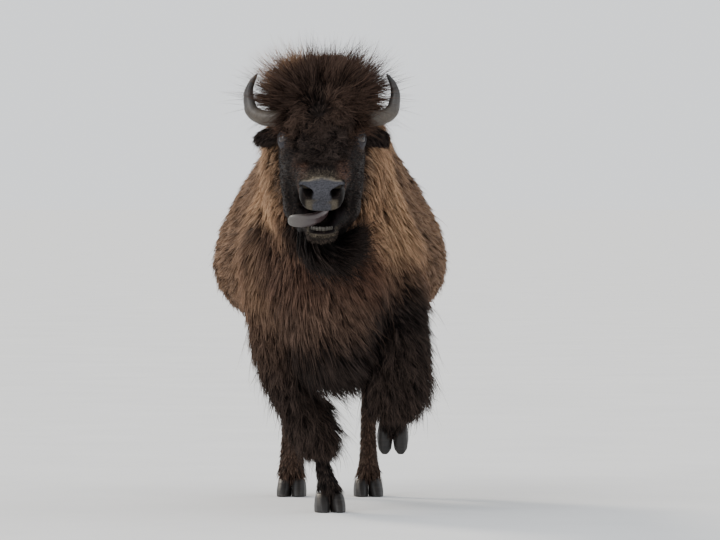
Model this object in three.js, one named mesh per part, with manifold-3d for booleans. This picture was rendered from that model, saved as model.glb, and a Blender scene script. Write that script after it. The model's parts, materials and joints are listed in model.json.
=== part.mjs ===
// American plains bison cow, life size, in winter coat: she canters with her head up and her mouth open.
// Millimetres, +Z up. She faces -Y, her left side is on +X and the floor is z = 0.
// Every outline runs out to the tips of the coat. Each sub-part is one closed solid.

import * as THREE from 'three';
import { LoftGeometry } from 'three/addons/geometries/LoftGeometry.js';
import { mergeVertices } from 'three/addons/utils/BufferGeometryUtils.js';
import Module from 'manifold-3d';

const wasm = await Module();
wasm.setup();

// ---- Driving dimensions -------------------------------------------------------------------------------------

const GAP = 0.4; // left between neighbouring sub-parts
const HUMP_HEIGHT = 1530;
const RUMP_HEIGHT = 1275;
const BARREL_HALF = 410; // greatest half-width of the body
const APRON_BOTTOM = 392; // lowest hair of the chest

const HEAD_X = -26; // the head is carried a little to her right
const EYES = { y: -1050, z: 1219 }; // middle of the line between the eyes
const FACE_SLOPE = THREE.MathUtils.degToRad( 36 ); // the face falls this much below the level
const EYE_SPREAD = 119; // half the distance between the eyeballs
const EYE_RADIUS = 20;
const HORN_SPREAD = 252; // outermost half-width over the horns
const CROWN_TOP = 1537;

const FORE_FOOT = { x: 0, y: -612 }; // the planted right fore foot
const HIND_FOOT_Y = 372;
const HIND_FOOT_X = 133;
const RAISED_FOOT = { x: 206, y: -565, z: 232 }; // middle of the sole of the lifted left fore foot
const RAISED_TIP = THREE.MathUtils.degToRad( 50 ); // how far that foot is tipped toe down
const CLAW = { half: 24.5, toe: 62, heel: 44, height: 60, cleft: 1.5 };

// ---- Colours ------------------------------------------------------------------------------------------------

const finish = ( color, roughness, metalness = 0 ) => new THREE.MeshStandardMaterial( { color, roughness, metalness } );
const CAPE_HAIR = finish( 0x7d5b3c, 0.95 );
const BODY_HAIR = finish( 0x5f422c, 0.95 );
const DARK_HAIR = finish( 0x2a1f1b, 0.92 );
const CROWN_HAIR = finish( 0x3b2820, 0.95 );
const NOSE_SKIN = finish( 0x50525a, 0.5 );
const TONGUE_SKIN = finish( 0x8b827e, 0.4 );
const TOOTH = finish( 0xb9aea0, 0.35 );
const EYE_BALL = finish( 0x1a1412, 0.08 );
const HORN = finish( 0x5d564b, 0.45 );
const HOOF = finish( 0x201c1a, 0.55 );

// ---- Solids: lofts through smooth stations, joins and cuts ---------------------------------------------------

const vector = ( x, y, z ) => new THREE.Vector3( x, y, z );
const FORWARD = vector( 0, - 1, 0 );
const UPWARD = vector( 0, 0, 1 );
const STATION_KEYS = [ 'x', 'y', 'z', 'side', 'up', 'down', 'crest', 'keel' ];

function solidOf( geometry ) {

	const bare = new THREE.BufferGeometry();
	bare.setAttribute( 'position', geometry.attributes.position );
	bare.setIndex( geometry.index );
	const merged = mergeVertices( bare, 1e-3 );
	const vertProperties = new Float32Array( merged.attributes.position.array );
	const triVerts = new Uint32Array( merged.index.array );
	return new wasm.Manifold( new wasm.Mesh( { numProp: 3, vertProperties, triVerts } ) );

}

function geometryOf( solid ) {

	const mesh = solid.getMesh();
	const geometry = new THREE.BufferGeometry();
	geometry.setAttribute( 'position', new THREE.BufferAttribute( mesh.vertProperties, 3 ) );
	geometry.setIndex( new THREE.BufferAttribute( mesh.triVerts, 1 ) );
	geometry.computeVertexNormals();
	return geometry;

}

const join = ( ...solids ) => solids.reduce( ( whole, solid ) => whole.add( solid ) );
const cut = ( solid, ...tools ) => tools.reduce( ( rest, tool ) => rest.subtract( tool ), solid );

// The largest of the pieces that a cut leaves.
function mainPiece( solid ) {

	const pieces = solid.decompose();
	return pieces.reduce( ( best, piece ) => ( piece.volume() > best.volume() ? piece : best ) );

}

// Half of space, as a box: the side of a plane that its normal points to, set back from the plane by `back`.
function halfSpace( point, normal, back = 0 ) {

	const size = 4000;
	const box = new THREE.BoxGeometry( size, size, size );
	box.translate( 0, 0, size / 2 + back );
	box.applyQuaternion( new THREE.Quaternion().setFromUnitVectors( UPWARD, normal.clone().normalize() ) );
	box.translate( point.x, point.y, point.z );
	return solidOf( box );

}

// A plane cut: the part on the normal's side and the part behind it, half a gap clear of the plane each.
function parted( solid, point, normal ) {

	const front = solid.intersect( halfSpace( point, normal, GAP / 2 ) );
	const back = solid.intersect( halfSpace( point, normal.clone().negate(), GAP / 2 ) );
	return [ front, back ];

}

// A value on the smooth curve through four neighbouring ones, t from the second to the third.
function onCurve( a, b, c, d, t ) {

	const slopeB = ( c - a ) / 2;
	const slopeC = ( d - b ) / 2;
	const t2 = t * t;
	const t3 = t2 * t;
	return ( 2 * t3 - 3 * t2 + 1 ) * b + ( t3 - 2 * t2 + t ) * slopeB + ( 3 * t2 - 2 * t3 ) * c + ( t3 - t2 ) * slopeC;

}

// The given stations with `steps - 1` more between each two.
function refined( stations, steps ) {

	const rows = [];
	const last = stations.length - 1;
	for ( let i = 0; i < last; i ++ ) {

		const near = [ Math.max( i - 1, 0 ), i, i + 1, Math.min( i + 2, last ) ].map( ( k ) => stations[ k ] );
		for ( let k = 0; k < steps; k ++ ) {

			const row = {};
			for ( const key of STATION_KEYS ) {

				row[ key ] = onCurve( near[ 0 ][ key ], near[ 1 ][ key ], near[ 2 ][ key ], near[ 3 ][ key ], k / steps );

			}

			rows.push( row );

		}

	}

	rows.push( stations[ last ] );
	return rows;

}

// One section: a rounded outline with its own height and fullness above and below its widest level. A lean
// crest still ends in a round top.
function ring( row, along, upHint, columns, grow ) {

	const up = upHint.clone().addScaledVector( along, - upHint.dot( along ) ).normalize();
	const side = new THREE.Vector3().crossVectors( up, along );
	const points = [];
	for ( let k = 0; k < columns; k ++ ) {

		const angle = ( k / columns ) * 2 * Math.PI;
		const c = Math.cos( angle );
		const s = Math.sin( angle );
		const crest = row.crest + Math.max( 2 - row.crest, 0 ) * s ** 4;
		const power = 2 / ( s >= 0 ? crest : row.keel );
		const across = ( row.side + grow ) * Math.sign( c ) * Math.abs( c ) ** power;
		const rise = ( ( s >= 0 ? row.up : row.down ) + grow ) * Math.sign( s ) * Math.abs( s ) ** power;
		points.push( vector( row.x, row.y, row.z ).addScaledVector( side, across ).addScaledVector( up, rise ) );

	}

	return points;

}

// A closed solid through stations. Its sections stand square to `along`, or else to the line of the stations.
function loft( stations, { up = UPWARD, along = null, steps = 1, columns = 16, grow = 0 } = {} ) {

	const rows = refined( stations, steps );
	const centre = rows.map( ( row ) => vector( row.x, row.y, row.z ) );
	const sections = rows.map( ( row, i ) => {

		const ahead = centre[ Math.min( i + 1, rows.length - 1 ) ];
		const behind = centre[ Math.max( i - 1, 0 ) ];
		const direction = along ?? ahead.clone().sub( behind ).normalize();
		const end = i === 0 ? - grow : i === rows.length - 1 ? grow : 0;
		return ring( row, direction, up, columns, grow ).map( ( point ) => point.addScaledVector( direction, end ) );

	} );
	return solidOf( new LoftGeometry( sections, { closed: true, capStart: true, capEnd: true } ) );

}

// Stations across the body, square to Y, from the heights of back and belly.
function bodyStation( y, top, bottom, side, widest, { x = 0, crest = 2, keel = 2 } = {} ) {

	return { x, y, z: widest, side, up: top - widest, down: widest - bottom, crest, keel };

}

// Limb stations: `fore` and `hind` are the reach to the front and the back of the centre line.
const limbStation = ( x, y, z, side, fore, hind = fore ) => ( { x, y, z, side, up: fore, down: hind, crest: 2, keel: 2 } );

// ---- Trunk and neck -----------------------------------------------------------------------------------------

function trunk( grow = 0 ) {

	const tent = { crest: 1.13, keel: 2.2 }; // the hump stands up thin over broad flanks
	const stations = [
		bodyStation( - 868, 850, 600, 60, 730, { x: 4 } ),
		bodyStation( - 848, 980, 500, 128, 740, { x: 8 } ),
		bodyStation( - 780, 1200, APRON_BOTTOM + 18, 188, 800, { x: 12, keel: 1.8 } ),
		bodyStation( - 680, 1385, APRON_BOTTOM, 236, 850, { x: 10, crest: 1.7, keel: 1.8 } ),
		bodyStation( - 560, 1490, 425, 272, 860, { crest: 1.38 } ),
		bodyStation( - 430, HUMP_HEIGHT, 500, 296, 860, tent ),
		bodyStation( - 290, 1512, 552, 328, 850, tent ),
		bodyStation( - 130, 1440, 562, 368, 835, tent ),
		bodyStation( 40, 1348, 562, BARREL_HALF - 4, 818, { crest: 1.34, keel: 2.3 } ),
		bodyStation( 200, 1290, 578, BARREL_HALF, 815, { crest: 1.62, keel: 2.3 } ),
		bodyStation( 350, RUMP_HEIGHT + 3, 620, 388, 838, { crest: 1.62, keel: 2.3 } ),
		bodyStation( 500, RUMP_HEIGHT, 672, 345, 880, { crest: 1.8 } ),
		bodyStation( 640, RUMP_HEIGHT - 18, 712, 300, 915 ),
		bodyStation( 750, RUMP_HEIGHT - 70, 752, 245, 940 ),
		bodyStation( 822, RUMP_HEIGHT - 150, 810, 165, 965 ),
		bodyStation( 850, RUMP_HEIGHT - 225, 870, 90, 960 ),
	];
	return loft( stations, { along: vector( 0, 1, 0 ), columns: 20, grow } );

}

function neck( grow = 0 ) {

	const stations = [
		bodyStation( - 540, 1460, 740, 220, 1080, { crest: 1.7 } ),
		bodyStation( - 660, 1448, 735, 218, 1120, { x: - 14, crest: 1.85 } ),
		bodyStation( - 780, 1420, 770, 206, 1140, { x: HEAD_X } ),
		bodyStation( - 880, 1400, 830, 186, 1150, { x: HEAD_X } ),
		bodyStation( - 950, 1370, 890, 150, 1160, { x: HEAD_X } ),
		bodyStation( - 985, 1320, 960, 100, 1150, { x: HEAD_X } ),
	];
	return loft( stations, { along: FORWARD, columns: 16, grow } );

}

// ---- Head ---------------------------------------------------------------------------------------------------
// Head places: `u` runs down the face from the line between the eyes, `v` out of the face, `x` to her left.

const FACE = vector( 0, - Math.cos( FACE_SLOPE ), - Math.sin( FACE_SLOPE ) );
const BROW = vector( 0, - Math.sin( FACE_SLOPE ), Math.cos( FACE_SLOPE ) );

function onHead( u, v, x = 0 ) {

	return vector( HEAD_X + x, EYES.y, EYES.z ).addScaledVector( FACE, u ).addScaledVector( BROW, v );

}

function headStation( u, top, bottom, side, widest, { crest = 2, keel = 2 } = {} ) {

	const { x, y, z } = onHead( u, widest );
	return { x, y, z, side, up: top - widest, down: widest - bottom, crest, keel };

}

const headLoft = ( stations, options ) => loft( stations, { along: FACE, up: BROW, ...options } );

function skullAndFace( grow = 0 ) {

	const cheek = { crest: 2.4, keel: 2.3 };
	const stations = [
		headStation( - 190, 40, - 170, 105, - 60, cheek ),
		headStation( - 130, 84, - 240, 132, - 80, cheek ),
		headStation( - 60, 82, - 278, 143, - 85, cheek ),
		headStation( 0, 74, - 284, 143, - 85, cheek ),
		headStation( 50, 66, - 266, 134, - 80, cheek ),
		headStation( 105, 56, - 212, 117, - 60, cheek ),
		headStation( 155, 48, - 132, 99, - 35, cheek ),
		headStation( 205, 43, - 86, 85, - 20, cheek ),
		headStation( 255, 42, - 69, 78, - 12, { crest: 2.6, keel: 2.6 } ),
		headStation( 294, 42, - 62, 75, - 5, { crest: 2.6, keel: 2.8 } ),
		headStation( 318, 31, - 56, 68, - 8, { crest: 2.6, keel: 2.6 } ),
		headStation( 328, 16, - 46, 52, - 12, { crest: 2.4, keel: 2.4 } ),
	];
	return headLoft( stations, { columns: 20, grow } );

}

// The nose pad with the upper lip is the last stretch of the face, with a nostril opening on each side.
function noseAndFace() {

	const padStart = onHead( 277, 0 );
	const [ nose, face ] = parted( skullAndFace(), padStart, FACE );
	const nostrils = [ - 1, 1 ].map( ( hand ) => nostril( hand ) );
	return { nose: cut( nose, ...nostrils ), face: cut( face, ...nostrils ) };

}

function nostril( hand ) {

	const shape = new THREE.SphereGeometry( 1, 9, 5 );
	shape.scale( 19, 26, 13 );
	shape.rotateY( hand * 0.35 );
	shape.rotateX( FACE_SLOPE );
	const place = onHead( 313, 20, hand * 46 );
	shape.translate( place.x, place.y, place.z );
	return solidOf( shape );

}

function lowerJaw( grow = 0 ) {

	const stations = [
		headStation( 20, - 150, - 312, 130, - 228 ),
		headStation( 85, - 138, - 310, 128, - 224 ),
		headStation( 145, - 132, - 292, 112, - 212 ),
		headStation( 195, - 138, - 264, 84, - 196, { crest: 2.6 } ),
		headStation( 245, - 146, - 238, 60, - 186, { crest: 2.8 } ),
		headStation( 282, - 150, - 220, 51, - 182, { crest: 2.8 } ),
		headStation( 302, - 160, - 206, 36, - 182 ),
	];
	return headLoft( stations, { columns: 16, grow } );

}

// The row of lower front teeth, an arc that stands on the front of the jaw.
function lowerTeeth( grow = 0 ) {

	const outer = 46 + grow;
	const inner = 36 - grow;
	const spread = 1.2;
	const arc = new THREE.Shape();
	arc.absarc( 0, 0, outer, - Math.PI / 2 - spread, - Math.PI / 2 + spread, false );
	arc.absarc( 0, 0, inner, - Math.PI / 2 + spread, - Math.PI / 2 - spread, true );
	const row = new THREE.ExtrudeGeometry( arc, { depth: 36 + 2 * grow, bevelEnabled: false, curveSegments: 5 } );
	row.translate( 0, 0, - grow );
	row.rotateX( FACE_SLOPE );
	const place = onHead( 252, - 167 );
	row.translate( place.x, place.y, place.z );
	return solidOf( row );

}

// The tongue comes out over the teeth and curls to her right, its blade turned on edge.
function tongue( grow = 0 ) {

	const route = [
		[ 100, - 136, 12, 22, 15 ],
		[ 165, - 136, 12, 23, 15 ],
		[ 222, - 130, 6, 22, 14 ],
		[ 266, - 120, - 16, 22, 13 ],
		[ 291, - 112, - 52, 22, 11 ],
		[ 296, - 109, - 84, 20, 9 ],
		[ 294, - 109, - 106, 11, 5 ],
	];
	const stations = route.map( ( [ u, v, x, half, thick ] ) => {

		const place = onHead( u, v, x );
		return { x: place.x, y: place.y, z: place.z, side: thick, up: half, down: half, crest: 2, keel: 2 };

	} );
	return loft( stations, { up: vector( 0.45, - 0.35, 1 ).normalize(), columns: 10, grow } );

}

function eyeball( hand, grow = 0 ) {

	const ball = new THREE.SphereGeometry( EYE_RADIUS + grow, 10, 6 );
	const place = onHead( 0, - 2, hand * EYE_SPREAD );
	ball.translate( place.x, place.y, place.z );
	return solidOf( ball );

}

// A horn grows out of the side of the skull, turns up and bends in towards its tip.
function horn( hand, grow = 0 ) {

	const rise = 1285; // height of the horn core at its root
	const route = [
		[ 88, - 988, rise + 4, 25 ],
		[ 145, - 988, rise - 1, 26 ],
		[ 190, - 981, rise + 2, 24 ],
		[ HORN_SPREAD - 29, - 971, rise + 21, 21.5 ],
		[ HORN_SPREAD - 19, - 963, rise + 50, 18 ],
		[ HORN_SPREAD - 16, - 957, rise + 80, 15 ],
		[ HORN_SPREAD - 24, - 954, rise + 110, 11 ],
		[ HORN_SPREAD - 38, - 955, rise + 134, 6 ],
		[ HORN_SPREAD - 45, - 956, rise + 143, 2.5 ],
	];
	const stations = route.map( ( [ x, y, z, r ] ) => limbStation( HEAD_X + hand * x, y, z, r, r ) );
	return loft( stations, { up: FORWARD, columns: 10, grow } );

}

// The ears lie out sideways below the horns, under their own long hair.
function ear( hand, grow = 0 ) {

	const route = [
		[ 105, - 948, 1238, 16, 24, 22 ],
		[ 140, - 944, 1234, 19, 34, 32 ],
		[ 175, - 934, 1228, 19, 38, 36 ],
		[ 204, - 922, 1220, 15, 32, 32 ],
		[ 222, - 915, 1214, 8, 16, 18 ],
	];
	const stations = route.map( ( [ x, y, z, thick, up, down ] ) => (
		{ x: HEAD_X + hand * x, y, z, side: thick, up, down, crest: 2, keel: 2 } ) );
	return loft( stations, { up: UPWARD, columns: 10, grow } );

}

// The tall mop of hair between the horns. Its front runs down the forehead between the eyes.
function crown( grow = 0 ) {

	const front = { x: HEAD_X + 2, crest: 2.4, keel: 1.3 };
	const dome = { x: HEAD_X + 2, crest: 2.4, keel: 1.6 };
	const stations = [
		bodyStation( - 1216, 1180, 1130, 34, 1160, front ),
		bodyStation( - 1198, 1240, 1130, 74, 1180, front ),
		bodyStation( - 1176, 1330, 1140, 118, 1240, front ),
		bodyStation( - 1140, 1430, 1160, 152, 1310, front ),
		bodyStation( - 1085, 1500, 1165, 182, 1345, front ),
		bodyStation( - 1010, 1532, 1170, 201, 1358, dome ),
		bodyStation( - 930, CROWN_TOP, 1200, 202, 1362, dome ),
		bodyStation( - 850, 1516, 1240, 178, 1370, dome ),
		bodyStation( - 785, 1440, 1300, 100, 1375, dome ),
	];
	return loft( stations, { along: vector( 0, 1, 0 ), columns: 16, grow } );

}

// The beard hangs from the chin and throat, blown to her left.
function beard( grow = 0 ) {

	const stations = [
		limbStation( HEAD_X, - 1030, 960, 92, 80, 100 ),
		limbStation( HEAD_X, - 1030, 905, 106, 92, 100 ),
		limbStation( HEAD_X + 8, - 1028, 862, 92, 80, 88 ),
		limbStation( HEAD_X + 18, - 1022, 825, 62, 52, 62 ),
		limbStation( HEAD_X + 26, - 1016, 800, 24, 22, 26 ),
	];
	return loft( stations, { up: FORWARD, along: vector( 0, 0, - 1 ), columns: 14, grow } );

}

// ---- Legs ---------------------------------------------------------------------------------------------------

const ELBOW_LEVEL = 640; // the fore legs part from the shoulders here
const STIFLE_LEVEL = 700; // the hind legs part from the rump here
const KNEE_LEVEL = 172; // the long hair of the planted fore leg ends here
const HOCK_LEVEL = 388; // the hind cannons start here
const LEVEL_LIMB = { up: FORWARD, along: vector( 0, 0, - 1 ), columns: 12 }; // a limb of level sections

// The planted right fore leg: shoulder, upper arm and long-haired forearm, down over the knee.
function rightForelegUpper( grow = 0 ) {

	const stations = [
		limbStation( - 128, - 400, 1150, 60, 90, 100 ),
		limbStation( - 178, - 470, 1020, 92, 150, 150 ),
		limbStation( - 204, - 520, 880, 108, 172, 168 ),
		limbStation( - 205, - 528, 750, 108, 140, 150 ),
		limbStation( - 196, - 522, 640, 100, 108, 124 ),
		limbStation( - 174, - 530, 520, 94, 94, 110 ),
		limbStation( - 140, - 548, 430, 94, 88, 106 ),
		limbStation( - 98, - 565, 355, 97, 84, 102 ),
		limbStation( - 56, - 580, 272, 87, 74, 92 ),
		limbStation( - 37, - 588, 205, 63, 56, 70 ),
		limbStation( - 31, - 592, KNEE_LEVEL, 42, 40, 46 ),
	];
	return loft( stations, { ...LEVEL_LIMB, grow } );

}

function rightForelegLower() {

	const { x, y } = FORE_FOOT;
	const stations = [
		limbStation( x - 28, y + 21, KNEE_LEVEL - GAP, 32, 32, 36 ),
		limbStation( x - 16, y + 18, 125, 31, 31, 36 ),
		limbStation( x - 5, y + 15, 88, 38, 36, 44 ),
		limbStation( x, y + 14, CLAW.height + GAP, 42, 40, 46 ),
	];
	return loft( stations, LEVEL_LIMB );

}

// The lifted left fore leg: the forearm reaches forward and its hair hangs round the bent knee.
function leftForelegUpper( grow = 0 ) {

	const stations = [
		limbStation( 122, - 410, 1140, 60, 90, 100 ),
		limbStation( 166, - 490, 1010, 90, 140, 150 ),
		limbStation( 200, - 560, 870, 108, 160, 170 ),
		limbStation( 216, - 590, 740, 113, 140, 150 ),
		limbStation( 222, - 625, 630, 114, 116, 126 ),
		limbStation( 219, - 670, 530, 115, 100, 112 ),
		limbStation( 216, - 712, 440, 115, 86, 104 ),
		limbStation( 212, - 730, 370, 99, 74, 88 ),
		limbStation( 208, - 728, 325, 70, 52, 60 ),
		limbStation( 206, - 724, 305, 38, 30, 34 ),
	];
	return loft( stations, { up: FORWARD, columns: 12, grow } );

}

// Its cannon folds back under the forearm and the foot hangs toe down.
function leftForelegLower() {

	const { x, y, z } = RAISED_FOOT;
	const stations = [
		limbStation( x + 2, y - 180, z + 168, 38, 38, 38 ),
		limbStation( x + 1, y - 130, z + 124, 32, 33, 34 ),
		limbStation( x, y - 82, z + 92, 33, 34, 35 ),
		limbStation( x, y - 54, z + 72, 39, 38, 42 ),
		limbStation( x, y - 40, z + 52, 42, 38, 42 ),
		limbStation( x, y - 30, z + 36, 38, 36, 36 ),
	];
	return loft( stations, { up: FORWARD, columns: 10 } );

}

// A hind leg: haunch and thigh down to the hock.
function hindLegUpper( hand, grow = 0 ) {

	const stations = [
		limbStation( hand * 140, 590, 1130, 90, 150, 150 ),
		limbStation( hand * 190, 570, 1010, 128, 205, 200 ),
		limbStation( hand * 218, 530, 880, 134, 215, 210 ),
		limbStation( hand * 222, 505, 770, 114, 170, 182 ),
		limbStation( hand * 200, 520, 660, 92, 124, 136 ),
		limbStation( hand * 170, 562, 560, 70, 94, 92 ),
		limbStation( hand * 148, 594, 475, 56, 76, 72 ),
		limbStation( hand * 140, 590, 420, 49, 62, 60 ),
		limbStation( hand * 138, 578, HOCK_LEVEL, 44, 52, 52 ),
	];
	return loft( stations, { ...LEVEL_LIMB, grow } );

}

// The hind cannon slopes forward to the foot. `heft` is the thickness of its coat.
function hindLegLower( hand, heft ) {

	const x = hand * HIND_FOOT_X;
	const y = HIND_FOOT_Y;
	const stations = [
		limbStation( x + hand * 5, y + 204, HOCK_LEVEL - GAP, 37 + heft / 2, 46, 46 ),
		limbStation( x + hand * 3, y + 178, 340, 32 + heft, 40, 42 ),
		limbStation( x, y + 118, 235, 31 + heft, 36, 40 ),
		limbStation( x, y + 66, 145, 33 + heft, 38, 46 ),
		limbStation( x, y + 36, 96, 39 + heft, 44, 54 ),
		limbStation( x, y + 15, CLAW.height + GAP, 42 + heft / 2, 46, 50 ),
	];
	return loft( stations, LEVEL_LIMB );

}

// ---- Hooves -------------------------------------------------------------------------------------------------

// One claw of a cloven hoof, its sole flat on z = 0 and its toe towards -Y. `hand` is its side of the foot. Its
// inner wall stands upright beside the other claw's.
function claw( hand, grow = 0 ) {

	const { half, toe, heel, height, cleft } = CLAW;
	const place = ( side, lean, level ) => ( { x: hand * ( side + cleft ), side, y: lean, z: level } );
	const stations = [
		{ ...place( half, 0, 0 ), up: toe, down: heel, crest: 2.2, keel: 2.6 },
		{ ...place( half, 4, height * 0.4 ), up: toe - 12, down: heel, crest: 2.3, keel: 2.6 },
		{ ...place( half - 1.5, 12, height * 0.8 ), up: toe - 24, down: heel - 6, crest: 2.1, keel: 2.4 },
		{ ...place( half - 4, 16, height ), up: toe - 32, down: heel - 14, crest: 2.1, keel: 2.2 },
	];
	return loft( stations, { up: FORWARD, along: UPWARD, columns: 10, grow } );

}

// A dewclaw: a small blunt cone behind the fetlock, whose back is `reach` behind the middle of the sole.
function dewclaw( hand, reach, grow = 0 ) {

	const stations = [
		limbStation( hand * 18, reach - 22, 96, 10, 9 ),
		limbStation( hand * 20, reach - 4, 87, 13, 11 ),
		limbStation( hand * 21, reach + 11, 70, 6, 5 ),
	];
	return loft( stations, { up: UPWARD, columns: 6, grow } );

}

// Where each foot stands, how it is tipped toe down and turned, and where the back of its fetlock is.
const FEET = {
	fore_right: { at: vector( FORE_FOOT.x, FORE_FOOT.y, 0 ), tip: 0, turn: 0.12, reach: 56 },
	fore_left: { at: vector( ...Object.values( RAISED_FOOT ) ), tip: RAISED_TIP, turn: 0, reach: 50 },
	hind_right: { at: vector( - HIND_FOOT_X, HIND_FOOT_Y, 0 ), tip: 0, turn: - 0.1, reach: 84 },
	hind_left: { at: vector( HIND_FOOT_X, HIND_FOOT_Y, 0 ), tip: 0, turn: 0.1, reach: 84 },
};

function onFoot( foot, solid ) {

	const turn = new THREE.Quaternion().setFromEuler( new THREE.Euler( foot.tip, 0, foot.turn ) );
	const matrix = new THREE.Matrix4().compose( foot.at, turn, vector( 1, 1, 1 ) );
	return solid.transform( matrix.elements );

}

// ---- Tail ---------------------------------------------------------------------------------------------------

function tail( grow = 0 ) {

	const stations = [
		limbStation( 0, 790, 1150, 40, 40 ),
		limbStation( 0, 862, 1118, 36, 34 ),
		limbStation( 4, 910, 1040, 26, 26 ),
		limbStation( 8, 922, 940, 22, 22 ),
		limbStation( 10, 920, 850, 24, 24 ),
	];
	return loft( stations, { up: FORWARD, columns: 10, grow } );

}

function tailTuft( grow = 0 ) {

	const stations = [
		limbStation( 9, 921, 880, 18, 18 ),
		limbStation( 10, 918, 820, 33, 34 ),
		limbStation( 12, 912, 740, 42, 42 ),
		limbStation( 12, 906, 650, 32, 32 ),
		limbStation( 12, 902, 590, 9, 9 ),
	];
	return loft( stations, { up: FORWARD, columns: 10, grow } );

}

// ---- The whole animal ---------------------------------------------------------------------------------------

const bison = new THREE.Group();

function place( name, solid, material ) {

	const mesh = new THREE.Mesh( geometryOf( mainPiece( solid ) ), material );
	mesh.name = name;
	bison.add( mesh );

}

// The trunk with the tops of the legs, parted into shoulders, barrel and rump.
function buildTrunk() {

	const elbow = vector( 0, 0, ELBOW_LEVEL );
	const stifle = vector( 0, 0, STIFLE_LEVEL );
	const [ rightArm, rightForearm ] = parted( rightForelegUpper(), elbow, UPWARD );
	const [ leftArm, leftForearm ] = parted( leftForelegUpper(), elbow, UPWARD );
	const [ rightHaunch, rightThigh ] = parted( hindLegUpper( - 1 ), stifle, UPWARD );
	const [ leftHaunch, leftThigh ] = parted( hindLegUpper( 1 ), stifle, UPWARD );

	const whole = join( trunk(), rightArm, leftArm, rightHaunch, leftHaunch );
	const belowElbow = halfSpace( elbow, vector( 0, 0, - 1 ), - GAP / 2 );
	const belowStifle = halfSpace( stifle, vector( 0, 0, - 1 ), - GAP / 2 );
	const freed = cut(
		whole,
		rightForelegUpper( GAP ).intersect( belowElbow ),
		leftForelegUpper( GAP ).intersect( belowElbow ),
		hindLegUpper( - 1, GAP ).intersect( belowStifle ),
		hindLegUpper( 1, GAP ).intersect( belowStifle ),
		tail( GAP ),
		skullAndFace( GAP ),
		lowerJaw( GAP ),
	);
	const [ behindShoulders, shoulders ] = parted( freed, vector( 0, - 170, 0 ), vector( 0, 1, 0 ) );
	const [ rump, barrel ] = parted( behindShoulders, vector( 0, 330, 0 ), vector( 0, 1, 0 ) );
	place( 'shoulders', shoulders, CAPE_HAIR );
	place( 'barrel', barrel, BODY_HAIR );
	place( 'rump', rump, BODY_HAIR );
	place( 'foreleg_right_upper', rightForearm, DARK_HAIR );
	place( 'foreleg_left_upper', leftForearm, DARK_HAIR );
	place( 'hind_leg_right_upper', rightThigh, DARK_HAIR );
	place( 'hind_leg_left_upper', leftThigh, DARK_HAIR );
	return join( trunk( GAP ), rightForelegUpper( GAP ), leftForelegUpper( GAP ) );

}

function buildHead( trunkTool ) {

	const hands = { right: - 1, left: 1 };
	const horns = Object.values( hands ).map( ( hand ) => horn( hand, GAP ) );
	const ears = Object.values( hands ).map( ( hand ) => ear( hand, GAP ) );
	const eyes = Object.values( hands ).map( ( hand ) => eyeball( hand, GAP ) );
	const { nose, face } = noseAndFace();
	const faceTool = skullAndFace( GAP );
	const jawTool = lowerJaw( GAP );
	const neckTool = neck( GAP );

	place( 'neck', cut( neck(), trunkTool, faceTool, jawTool, ...ears, ...horns ), CAPE_HAIR );
	place( 'head', cut( face, ...eyes, ...ears, ...horns, tongue( GAP ) ), DARK_HAIR );
	place( 'nose_pad', cut( nose, tongue( GAP ) ), NOSE_SKIN );
	place( 'lower_jaw', cut( lowerJaw(), faceTool, lowerTeeth( GAP ), tongue( GAP ) ), DARK_HAIR );
	place( 'lower_teeth', cut( lowerTeeth(), tongue( GAP ) ), TOOTH );
	place( 'tongue', tongue(), TONGUE_SKIN );
	place( 'crown', cut( crown(), faceTool, neckTool, trunkTool, ...horns, ...ears, ...eyes ), CROWN_HAIR );
	place( 'beard', cut( beard(), faceTool, jawTool, neckTool, trunkTool ), DARK_HAIR );
	for ( const [ name, hand ] of Object.entries( hands ) ) {

		place( `horn_${ name }`, horn( hand ), HORN );
		place( `ear_${ name }`, cut( ear( hand ), horn( hand, GAP ) ), DARK_HAIR );
		place( `eye_${ name }`, eyeball( hand ), EYE_BALL );

	}

}

// The lower legs end in two claws each, with two dewclaws behind.
function buildFeet() {

	const folded = FEET.fore_left;
	const foldedClaws = [ - 1, 1 ].map( ( hand ) => onFoot( folded, claw( hand, GAP ) ) );
	const lowerLegs = {
		foreleg_right: [ FEET.fore_right, rightForelegLower() ],
		foreleg_left: [ folded, cut( leftForelegLower(), leftForelegUpper( GAP ), ...foldedClaws ) ],
		hind_leg_right: [ FEET.hind_right, hindLegLower( - 1, 9 ) ],
		hind_leg_left: [ FEET.hind_left, hindLegLower( 1, 0 ) ],
	};
	for ( const [ leg, [ foot, solid ] ] of Object.entries( lowerLegs ) ) {

		const tools = [ - 1, 1 ].map( ( hand ) => onFoot( foot, dewclaw( hand, foot.reach, GAP ) ) );
		place( `${ leg }_lower`, cut( solid, ...tools ), DARK_HAIR );
		for ( const [ side, hand ] of Object.entries( { right: - 1, left: 1 } ) ) {

			place( `${ leg }_${ side }_claw`, onFoot( foot, claw( hand ) ), HOOF );
			place( `${ leg }_${ side }_dewclaw`, onFoot( foot, dewclaw( hand, foot.reach ) ), HOOF );

		}

	}

}

buildHead( buildTrunk() );
buildFeet();
place( 'tail', tail(), BODY_HAIR );
place( 'tail_tuft', cut( tailTuft(), tail( GAP ) ), DARK_HAIR );

// The origin is the middle of the floor under the animal's box.
const box = new THREE.Box3().setFromObject( bison );
const middle = box.getCenter( vector( 0, 0, 0 ) );
bison.position.set( - middle.x, - middle.y, - box.min.z );
bison.updateMatrixWorld( true );

export default bison;
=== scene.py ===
"""Looks of the life-size bison cow: one skin, a coat of solid tufts, and horns, eyes, claws, tongue, teeth.

Metres, +Z up. She faces -Y and her left side is on +X. Places on the head are (u, v, x): u down the face
from the line between the eyes, v out of the face, x to her left. Places on the body count y from
BODY_ORIGIN_Y.
"""
import json
import math
from contextlib import contextmanager

import bmesh
import bpy
import numpy as np
import openvdb as vdb
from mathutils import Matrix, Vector, kdtree

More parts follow.
